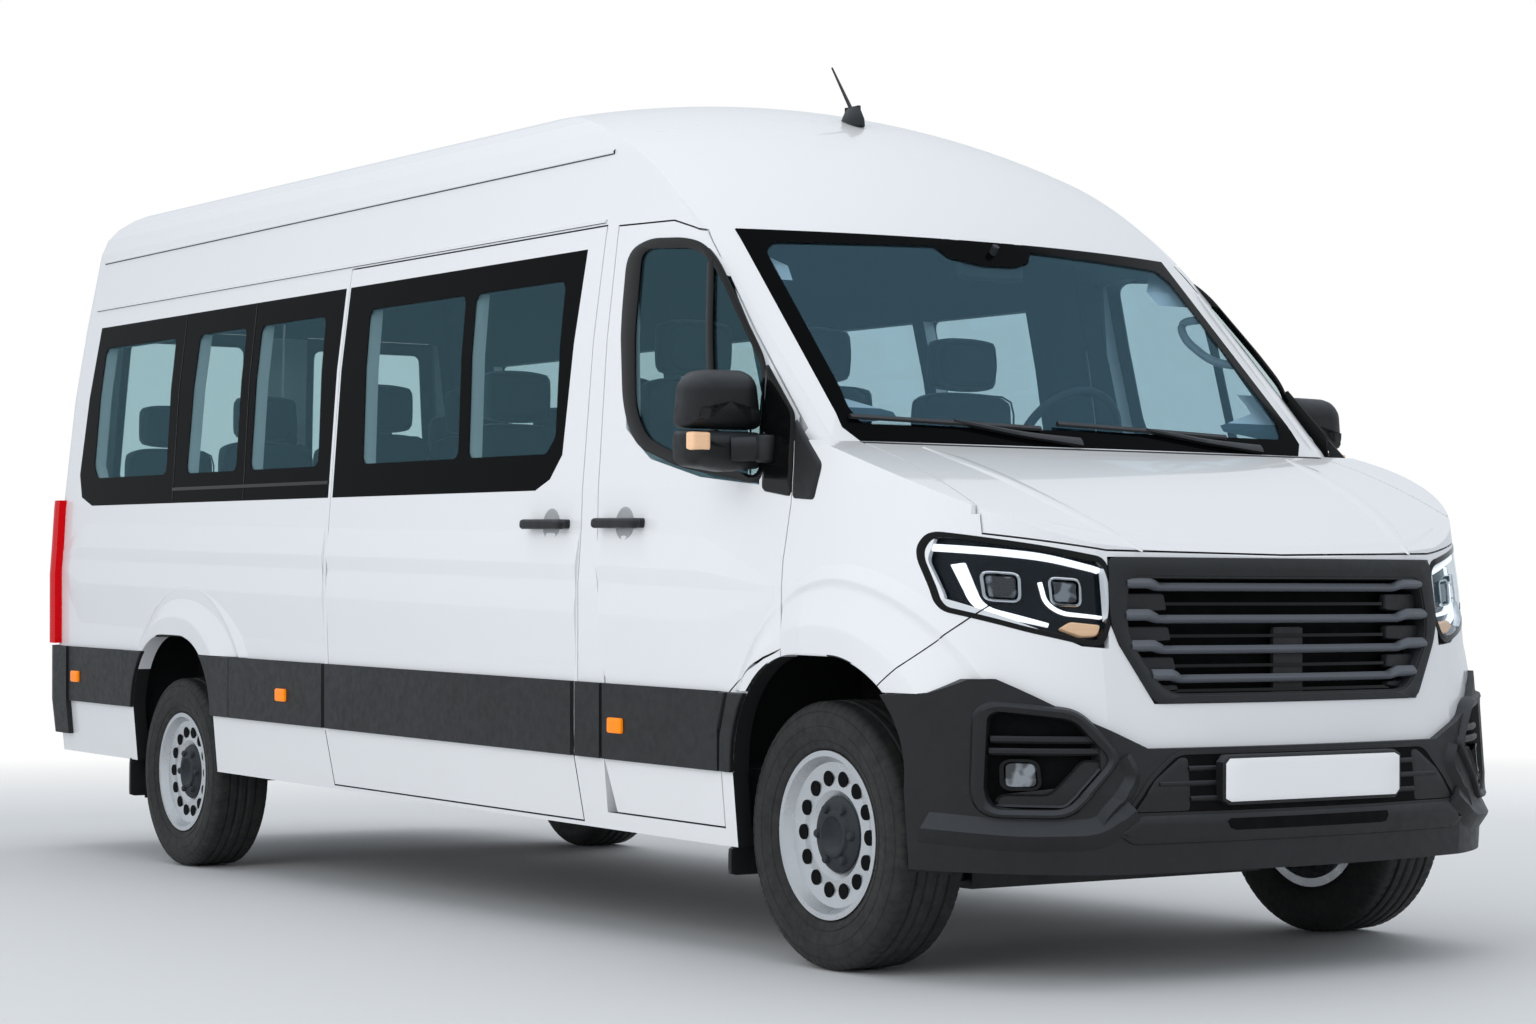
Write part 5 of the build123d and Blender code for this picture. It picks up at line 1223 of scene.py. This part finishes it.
def build_arches():
    """Faceted flares round the wheel arches, shared with the front doors where those cross them, the
    dark mouldings' ends beside the arches, the wings' seams and the mud flaps."""
    whites, darks, seams = [], [], []
    for side, sign in SIDES:
        hull = on_hull(sign)
        curves = arch_edge(0.0, ARCH_TOPS[0], 724.0), circle(*FLARE_CURVES[0])
        ahead = [curve[(curve[:, 0] <= DOOR_EDGE_Y[0]) & ((curve[:, 1] > 744) | (curve[:, 0] > 0))]
                 for curve in curves]
        ahead = [rounded(curve, 0, 90, False) for curve in ahead]
        behind = [rounded(curve[curve[:, 0] >= DOOR_EDGE_Y[1]], 0, 60, False) for curve in curves]
        whites.append(flare(*ahead, hull, fade=((40, 146), (1, 0.35))))
        whites.append(door_flare(side, behind, hull))
        foot = arch_edge(0.0, ARCH_TOPS[0], DARK_FOOT)
        foot = foot[(foot[:, 0] > 0) & (foot[:, 1] <= DARK_TOP)]
        ends = [np.vstack([foot, [(440, DARK_FOOT), (437, 600), (397, 719)]])]
        tip = pad(rounded([(411, 719), (452, 719), (452, 606)], 2, 30), hull, DARK_EDGE)
        make(f"door_moulding_end_{side}", [tip], "plastic", f"front_door_{side}")
        curves = arch_edge(WHEELBASE, ARCH_TOPS[1], 722.0), circle(*FLARE_CURVES[1])
        whites.append(flare(*(rounded(curve, 0, 120, False) for curve in curves), hull))
        foot = arch_edge(WHEELBASE, ARCH_TOPS[1], DARK_FOOT)
        foot = foot[foot[:, 1] <= DARK_TOP]
        front, rear = foot[foot[:, 0] < WHEELBASE], foot[foot[:, 0] > WHEELBASE]
        ends.append(np.vstack([[(3747, DARK_TOP), (3747, DARK_FOOT)], front]))
        ends.append(np.vstack([rear, [(4759, DARK_FOOT), (4759, DARK_TOP)]]))
        darks += [pad(rounded(end, 3, 120), hull, DARK_EDGE) for end in ends]
        seams.append(wing_seam(ahead, hull))
        for low, high, foot_z, sill in MUD_FLAPS:
            def sheet(x, z, out, low=low, high=high):
                """Upright plane across the flap's middle, moved forwards by out."""
                return np.stack([x, (low + high) / 2 - out, z], -1)
            flap = [(735, sill + 215), (735, foot_z), (984, foot_z), (984, sill), (944, sill + 8),
                    (944, sill + 215)]
            loop = rounded([(sign * x, z) for x, z in flap], 12, 60)
            darks.append(pad(loop, sheet, [(2, 8), (0, 6), (0, -6), (2, -8)]))
    make("arch_flares", whites, "paint", angle=12)
    make("arch_mouldings", darks, "plastic")
    make("wing_seams", seams, "void")


def build_handles():
    """Door handles, a black bar on two feet over a round dished cup, and the side marker lamps."""
    bar_edge = [(8, 42), (3, 40), (0, 34), (0, 24), (3, 18), (8, 16)]
    turn = np.linspace(0, 2 * np.pi, 48, endpoint=False)
    cup_back, cup_z, cup_half_y, cup_half_z = 6, 1184, 52, 50
    for name, body, sign, y in HANDLES:
        side = on_side(sign)
        ring = np.stack([y - cup_back + cup_half_y * np.cos(turn), cup_z + cup_half_z * np.sin(turn)], 1)
        dish = pad(ring, side, [(18, 0.6), (9, 1.2), (4, 2.2), (0, 0.2), (0, -3)])
        # The cup is painted grey: painted shade in the recess behind the bar.
        make(f"handle_cup_{name}", [dish], "recess", body)
        bar = rounded([(y - 124, 1170), (y + 124, 1172), (y + 124, 1202), (y - 124, 1200)], 13, 72)
        feet = [rounded([(y + at - 22, 1172), (y + at + 22, 1172), (y + at + 22, 1200), (y + at - 22, 1200)],
                        10, 40) for at in (-96, 96)]
        feet = [pad(foot, side, [(2, 30), (0, 26), (0, -2)]) for foot in feet]
        make(f"handle_{name}", [pad(bar, side, bar_edge)] + feet, "plastic", body)
    half_y, half_z = MARKER_HALF
    low, high = MARKER_Z - half_z, MARKER_Z + half_z
    for side, sign in SIDES:
        boxes = [[(y - half_y, low), (y + half_y, low), (y + half_y, high), (y - half_y, high)]
                 for y in MARKERS_Y]
        boxes = [pad(rounded(box, 8, 40), on_side(sign), [(5, 24), (1, 21), (0, 12)]) for box in boxes]
        make(f"side_markers_{side}", boxes[1:], "amber")
        make(f"door_marker_{side}", boxes[:1], "amber", f"front_door_{side}")


def build_mirrors():
    """Mirror heads in two shells with glass, turn signal and a flat arm to the door."""
    bulge = [(52, 57), (34, 53), (18, 45), (6, 30), (0, 10), (0, -42), (5, -53), (14, -57)]
    shallow = [(34, 50), (18, 44), (6, 32), (1, 12), (1, -42), (6, -53), (14, -56)]
    upper, lower = rounded(MIRROR_UPPER, 26, 96), rounded(MIRROR_LOWER, 16, 96)
    lamp = rounded(MIRROR_LAMP, 7, 48)
    for side, sign in SIDES:
        def face(x, z, out, sign=sign):
            """Upright plane of this side's mirror head, moved forwards by out."""
            return np.stack([sign * x, MIRROR_Y - out, z], -1)
        body = f"front_door_{side}"
        arm = tube(rounded([(sign * x, y, z) for x, y, z in MIRROR_ARM], 30, 16, False), 20, 20, 1.7)
        knuckle = tube([(sign * 990, 250, z) for z in (1344, 1350, 1410, 1418)], [24, 29, 29, 24], 24, 1.0,
                       (0, 1, 0))
        make(f"mirror_head_{side}", [pad(upper, face, bulge, 8), pad(lower, face, shallow, 8), arm, knuckle],
             "plastic", body, (f"mirror_{side}",))
        glasses = [pad(inward(upper, 17), face, [(0, -57.4), (0, -59)]),
                   pad(inward(lower, 17), face, [(0, -56.4), (0, -58)])]
        make(f"mirror_glass_{side}", glasses, "mirror", body)
        signal = pad(lamp, face, [(6, 53), (2, 50), (0, 40), (0, 20)])
        make(f"mirror_signal_{side}", [signal], "amber_clear", body)


def build_wipers():
    """Two wipers parked along the foot of the windscreen, and the aerial on the roof."""
    arm_section = [(-1, 4), (-1, 14), (0, 17), (1, 14), (1, 4)]
    blade_section = [(-2, 0.5), (-7, 8), (-4, 13), (4, 13), (7, 8), (2, 0.5)]
    width = np.interp(np.linspace(0, 1, 40), (0, 0.25, 1), (11, 8, 4))
    grids = []
    for pivot, elbow, tip, start, end in WIPER_LINES:
        grids.append(trail(rounded([pivot, elbow, tip], 60, 40, False), on_screen, arm_section, width))
        grids.append(trail(rounded([start, end], 0, 40, False), on_screen, blade_section))
    make("wiper_arms", grids, "plastic", stands_for=("wipers",))
    turn = np.linspace(0, 2 * np.pi, 40, endpoint=False)
    base = np.stack([26 * np.cos(turn), AERIAL_FOOT[0] + 58 * np.sin(turn)], 1)

    def level(x, y, out):
        """Level plane at the aerial's foot, moved up by out."""
        return np.stack([x, y, AERIAL_FOOT[1] + out], -1)
    foot = pad(base, level, [(22, 52), (17, 44), (9, 26), (2, 8), (0, -14)])
    whip = tube(np.linspace(*AERIAL, 12), np.linspace(6.5, 3.0, 12), 10)
    make("aerial_whip", [foot, whip], "plastic", stands_for=("aerial",))


# ------------------------------------------------------------------ cabin
def build_cabin():
    """Steering wheel, instrument hood, inner mirror and grab handles."""
    centre = np.array(STEERING_MIDDLE)
    over = np.array([0, -math.cos(STEERING_TILT), math.sin(STEERING_TILT)])
    axis = np.array([0, math.sin(STEERING_TILT), math.cos(STEERING_TILT)])
    turn = np.linspace(0, 2 * np.pi, 64, endpoint=False)[:, None]
    rim = centre + axis * 26 + 186 * (np.cos(turn) * [1, 0, 0] + np.sin(turn) * over)
    grids = [tube(rim, 14.5, 14, 1.0, axis, True)]
    for at in (0.0, math.pi, -math.pi / 2):
        way = math.cos(at) * np.array([1.0, 0, 0]) + math.sin(at) * over
        spoke = np.linspace(centre + axis * 14, centre + axis * 24 + way * 180, 8)
        grids.append(tube(spoke, np.linspace(26, 15, 8), 12, 0.45, axis))
    hub = np.linspace(centre - axis * 2, centre + axis * 34, 5)
    grids.append(tube(hub, [52, 60, 60, 56, 40], 32, 0.85, (1, 0, 0)))
    make("steering_rim", grids, "cabin", "steering", ("steering_wheel",))

    hood = [(430, y, z) for y, z in ((560, 1302), (520, 1340), (430, 1366), (330, 1350), (260, 1318))]
    make("instrument_hood", [tube(hood, [90, 130, 150, 140, 90], 28, 0.42, (0, 0, 1))], "cabin")

    def upright(x, z, out):
        """Upright plane of the inner mirror, moved forwards by out."""
        return np.stack([x, 560 - out, z], -1)
    stem = tube([(0, 520, 2015), (0, 540, 1990), (0, 560, 1965)], 11, 12)
    head = rounded([(-125, 1915), (125, 1915), (118, 1985), (-118, 1985)], 24, 60)
    glass = pad(head, upright, [(10, 22), (0, 12), (0, 0), (6, -8)])
    make("inner_mirror", [stem, glass], "cabin")
    grips = [rounded([(sign * x, y, z) for x, y, z in GRAB_HANDLE], 50, 32, False) for _, sign in SIDES]
    make("grab_handles", [tube(grip, 13, 12) for grip in grips], "recess")


# ------------------------------------------------------------------ seats
def soft_block(low, high, crown, steps=14):
    """Cushion before filling: a box of squares whose faces bulge by crown millimetres, most in the
    middle, as a cosine of the place across each face."""
    low, high = np.asarray(low, float), np.asarray(high, float)
    half, middle = (high - low) / 2, (high + low) / 2
    rise = np.linspace(-1, 1, steps)
    turn = np.linspace(0, 2 * np.pi, 4 * steps, endpoint=False)
    flat = np.maximum(np.abs(np.cos(turn)), np.abs(np.sin(turn)))
    ring = np.stack([np.cos(turn) / flat, np.sin(turn) / flat], 1)
    caps = np.linspace(0, 1, steps // 2)[:-1]
    rows = [(np.array([s, s]), -1.0) for s in caps] + [(np.array([1.0, 1.0]), z) for z in rise]
    rows += [(np.array([s, s]), 1.0) for s in caps[::-1]]
    cube = np.stack([np.column_stack([ring * size, np.full(len(ring), z)]) for size, z in rows])
    reach = np.abs(cube) ** 6
    squash = (1 + (reach.sum(-1, keepdims=True) - reach.max(-1, keepdims=True))) ** (-1 / 12)
    bulge = np.cos(np.clip(cube, -1, 1) * np.pi / 2)
    push = np.stack([bulge[..., 1] * bulge[..., 2], bulge[..., 0] * bulge[..., 2],
                     bulge[..., 0] * bulge[..., 1]], -1)
    return middle + cube * squash * half + np.sign(cube) * (np.abs(cube) > 0.999) * push * crown


def seat_parts():
    """Cushion, backrest and headrest of a seat at the origin: name, node, low and high corner of its
    box, and crown."""
    half, base = SEAT_W / 2, CUSHION_Z[0]
    return (("cushions", "seat_cushions", (-half, -CUSHION_L, base), (half, -1.0, CUSHION_Z[1]), 8.0),
            ("backs", "seat_backs", (-half, 0.0, base), (half, BACK_T, BACK_TOP), 8.0),
            ("heads", "headrests", (-HEAD_HALF, 5.0, BACK_TOP + 1), (HEAD_HALF, BACK_T - 5, HEAD_TOP), 6.0))


def evaluated_mesh(thing):
    """Copy of the mesh that an object's modifiers give at this frame."""
    return bpy.data.meshes.new_from_object(thing.evaluated_get(bpy.context.evaluated_depsgraph_get()))


def positions(mesh):
    """A mesh's vertices as rows."""
    flat = np.empty(len(mesh.vertices) * 3)
    mesh.vertices.foreach_get("co", flat)
    return flat.reshape(-1, 3)


def stuffed(grid):
    """Points and faces of a cushion blown up as a cloth cover over its foam: one voxel mesh, twenty
    frames of pressure with gravity off, each point's way capped, then frozen.  Millimetres."""
    faces = face_grid(*grid.shape[:2])
    scene = bpy.context.scene
    mesh = bpy.data.meshes.new("cover")
    mesh.from_pydata((grid.reshape(-1, 3) / 1000.0).tolist(), [], faces.tolist())
    cover = bpy.data.objects.new("cover", mesh)
    scene.collection.objects.link(cover)
    remesh = cover.modifiers.new("voxels", "REMESH")
    remesh.mode = "VOXEL"
    remesh.voxel_size = COVER_VOXEL
    rest = evaluated_mesh(cover)
    cover.modifiers.clear()
    cover.data = rest
    cloth = cover.modifiers.new("cloth", "CLOTH")
    cloth.settings.use_pressure = True
    cloth.settings.uniform_pressure_force = COVER_PRESSURE
    cloth.settings.effector_weights.gravity = 0.0
    for step in range(1, COVER_FRAMES + 1):
        scene.frame_set(step)
    start = positions(rest)
    way = positions(evaluated_mesh(cover)) - start
    length = np.linalg.norm(way, axis=1, keepdims=True)
    points = start + way * np.minimum(1, COVER_WAY / np.maximum(length, 1e-9))
    faces = np.array([polygon.vertices[:] for polygon in rest.polygons])
    scene.frame_set(1)
    bpy.data.objects.remove(cover)
    return points * 1000.0, faces


def piping(low, high, lying):
    """Round cord sewn along the edge of a cushion's top, where it lies, or of its front face."""
    (x0, y0, z0), (x1, y1, z1) = np.array(low) + 17, np.array(high) - 17
    v0, v1 = (y0, y1) if lying else (z0, z1)
    loop = rounded([(x0, v0), (x1, v0), (x1, v1), (x0, v1)], 55, 48)
    if lying:
        return tube(np.column_stack([loop, np.full(48, z1 + 10)]), 3.5, 6, closed=True)
    path = np.column_stack([loop[:, 0], np.full(48, y0 - 10), loop[:, 1]])
    return tube(path, 3.5, 6, up=(0, 1, 0), closed=True)


def build_seats():
    """Upholstered cushions, backrests and headrests: each blown up once and set in every place,
    with piping sewn along the edge of its face."""
    moves, slim = np.array(PLACES), np.array(COVER_SLIM)
    for name, node, low, high, crown in seat_parts():
        points, faces = stuffed(soft_block(np.array(low) + slim, np.array(high) - slim, crown))
        everywhere = (points[None] + moves[:, None]).reshape(-1, 3)
        starts = len(points) * np.arange(len(moves))[:, None, None]
        all_faces = (faces[None] + starts).reshape(-1, faces.shape[1])
        piece = piece_of(f"upholstered_{name}", everywhere, all_faces, "cloth", stands_for=(node,), angle=80)
        seam = piping(low, high, name == "cushions")
        make(f"piping_{name}", [seam + move for move in moves], "piping")


# ------------------------------------------------------------------ operators
class MINIBUS_OT_finish(bpy.types.Operator):
    """Gives every CAD node its material"""
    bl_idname = "minibus.finish_nodes"
    bl_label = "Finish the solids"

    def execute(self, context):
        build_materials(context.scene.minibus_finish)
        for key, names in NODE_FINISH.items():
            for name in names:
                paint_node(name, key)
        return {"FINISHED"}


class MINIBUS_OT_glazing(bpy.types.Operator):
    """Side, door and rear glass and the windscreen, with frames and seams"""
    bl_idname = "minibus.glazing"
    bl_label = "Glazing"

    def execute(self, context):
        build_glazing()
        build_window_trim()
        return {"FINISHED"}


class MINIBUS_OT_wheels(bpy.types.Operator):
    """Ribbed tyres and wheel caps"""
    bl_idname = "minibus.wheels"
    bl_label = "Wheels"

    def execute(self, context):
        build_wheels()
        return {"FINISHED"}


class MINIBUS_OT_front(bpy.types.Operator):
    """Headlamps, grille, fog lamps, bumper and number plate"""
    bl_idname = "minibus.front"
    bl_label = "Front"

    def execute(self, context):
        build_headlamps()
        build_grille()
        build_fog_lamps()
        build_bumper()
        return {"FINISHED"}


class MINIBUS_OT_bodywork(bpy.types.Operator):
    """Pressed lines, arch flares, handles, mirrors, wipers and aerial"""
    bl_idname = "minibus.bodywork"
    bl_label = "Bodywork"

    def execute(self, context):
        build_bodywork()
        build_waistlines()
        build_arches()
        build_handles()
        build_mirrors()
        build_wipers()
        return {"FINISHED"}


class MINIBUS_OT_cabin(bpy.types.Operator):
    """Seats, steering wheel and cabin trim"""
    bl_idname = "minibus.cabin"
    bl_label = "Cabin"

    def execute(self, context):
        build_cabin()
        build_seats()
        return {"FINISHED"}


class MINIBUS_OT_stage(bpy.types.Operator):
    """Pale floor, soft studio lamps, world and the camera"""
    bl_idname = "minibus.stage"
    bl_label = "Stage"

    def execute(self, context):
        build_stage(context.scene, context.scene.minibus_stage)
        return {"FINISHED"}


def build_stage(scene, sizes):
    """A wide floor, three area lamps round the vehicle and a world that is white to the eye."""
    scene.view_settings.view_transform = "Standard"
    mesh = bpy.data.meshes.new("floor_sheet")
    corners = [(x * FLOOR_REACH, y * FLOOR_REACH, 0) for x, y in ((-1, -1), (1, -1), (1, 1), (-1, 1))]
    mesh.from_pydata(corners, [], [(0, 1, 2, 3)])
    floor = bpy.data.objects.new("floor_sheet", mesh)
    scene.collection.objects.link(floor)
    material, tree, where = blank("matt_pale_floor")
    matt = add(tree, "BsdfPrincipled", 0, Base_Color=colour("#D9DADB"), Roughness=0.7)
    white = add(tree, "Emission", 0, Color=(1, 1, 1, 1), Strength=1.0)
    away = add(tree, "VectorMath", "Value", operation="LENGTH", i0=where)
    far = add(tree, "MapRange", 0, Value=away, From_Min=5.0, From_Max=11.0, To_Min=0.0, To_Max=1.0)
    fade = add(tree, "Math", 0, operation="MULTIPLY", i0=far, i1=add(tree, "LightPath", "Is Camera Ray"))
    add(tree, "OutputMaterial", Surface=add(tree, "MixShader", 0, i0=fade, i1=matt, i2=white))
    floor.data.materials.append(material)

    world = bpy.data.worlds.new("studio")
    scene.world = world
    world.use_nodes = True
    tree = world.node_tree
    tree.nodes.clear()
    path = add(tree, "LightPath").outputs
    direct = add(tree, "Math", 0, operation="MAXIMUM", i0=path["Is Camera Ray"],
                 i1=path["Is Transmission Ray"])
    soft = add(tree, "Background", 0, Color=colour("#E6ECF2"), Strength=0.84)
    plain = add(tree, "Background", 0, Color=(1, 1, 1, 1), Strength=1.0)
    add(tree, "OutputWorld", Surface=add(tree, "MixShader", 0, i0=direct, i1=soft, i2=plain))

    for name, spot, size in LAMPS:
        data = bpy.data.lights.new(name, "AREA")
        data.size = size
        data.energy = getattr(sizes, name.replace("lamp", "power"))
        lamp = bpy.data.objects.new(name, data)
        scene.collection.objects.link(lamp)
        lamp.location = spot
        lamp.visible_glossy = False
        lamp.rotation_euler = (Vector((0, 0, 1.0)) - Vector(spot)).to_track_quat("-Z", "Y").to_euler()

    data = bpy.data.cameras.new("camera")
    data.lens = sizes.lens
    data.sensor_width = 36.0
    data.clip_end = 200.0
    camera = bpy.data.objects.new("camera", data)
    scene.collection.objects.link(camera)
    yaw, pitch, roll = (math.radians(angle) for angle in CAMERA_TURN)
    ahead = Vector((math.cos(pitch) * math.cos(yaw), math.cos(pitch) * math.sin(yaw), math.sin(pitch)))
    right = ahead.cross(Vector((0, 0, 1))).normalized()
    up = right.cross(ahead)
    turned_right = right * math.cos(roll) + up * math.sin(roll)
    turned_up = up * math.cos(roll) - right * math.sin(roll)
    matrix = Matrix((turned_right, turned_up, -ahead)).transposed().to_4x4()
    matrix.translation = CAMERA_PLACE
    camera.matrix_world = matrix
    scene.camera = camera


class MINIBUS_PG_finish(bpy.types.PropertyGroup):
    """Colours of the outside, as linear values"""
    paint: bpy.props.FloatVectorProperty(
        name="Body paint", description="Colour of the enamel", size=3, min=0.0, max=1.0, subtype="COLOR",
        default=colour("#EDEEF0")[:3])
    trim: bpy.props.FloatVectorProperty(
        name="Plastic trim", description="Colour of bumpers and mouldings", size=3, min=0.0, max=1.0,
        subtype="COLOR", default=colour("#191A1C")[:3])
    glass: bpy.props.FloatVectorProperty(
        name="Glass tint", description="Tint of each surface of the side glass", size=3, min=0.0, max=1.0,
        subtype="COLOR", default=colour("#E4EEEF")[:3])


class MINIBUS_PG_stage(bpy.types.PropertyGroup):
    """Power of the lamps and the camera's lens"""
    key_power: bpy.props.FloatProperty(
        name="Key lamp", description="Power of the lamp on the nose side", default=340.0, min=0.0,
        unit="POWER")
    top_power: bpy.props.FloatProperty(
        name="Top lamp", description="Power of the lamp overhead", default=190.0, min=0.0, unit="POWER")
    rim_power: bpy.props.FloatProperty(
        name="Rim lamp", description="Power of the lamp behind", default=110.0, min=0.0, unit="POWER")
    lens: bpy.props.FloatProperty(
        name="Lens", description="Focal length of the camera in millimetres", default=72.35, min=10.0,
        unit="CAMERA")


class MINIBUS_PT_panel(bpy.types.Panel):
    """Lists the steps and their settings"""
    bl_idname = "MINIBUS_PT_panel"
    bl_label = "Minibus"
    bl_space_type = "VIEW_3D"
    bl_region_type = "UI"
    bl_category = "Minibus"

    def draw(self, context):
        for step in STEPS:
            self.layout.operator(step.bl_idname)
        for key, _ in GROUPS:
            settings = getattr(context.scene, key)
            for setting in settings.bl_rna.properties.keys():
                if setting not in ("rna_type", "name"):
                    self.layout.prop(settings, setting)


STEPS = (MINIBUS_OT_finish, MINIBUS_OT_glazing, MINIBUS_OT_wheels, MINIBUS_OT_front, MINIBUS_OT_bodywork,
         MINIBUS_OT_cabin, MINIBUS_OT_stage)
GROUPS = (("minibus_finish", MINIBUS_PG_finish), ("minibus_stage", MINIBUS_PG_stage))
CLASSES = tuple(group for _, group in GROUPS) + STEPS + (MINIBUS_PT_panel,)


def register():
    """Adds the classes and the scene's settings to Blender."""
    for cls in CLASSES:
        bpy.utils.register_class(cls)
    for key, group in GROUPS:
        setattr(bpy.types.Scene, key, bpy.props.PointerProperty(type=group))


def unregister():
    """Takes them away again, in the reverse order."""
    for key, _ in GROUPS:
        delattr(bpy.types.Scene, key)
    for cls in reversed(CLASSES):
        bpy.utils.unregister_class(cls)


def main():
    """Runs every step."""
    register()
    for step in STEPS:
        category, action = step.bl_idname.split(".")
        getattr(getattr(bpy.ops, category), action)()


if __name__ == "__main__":
    main()
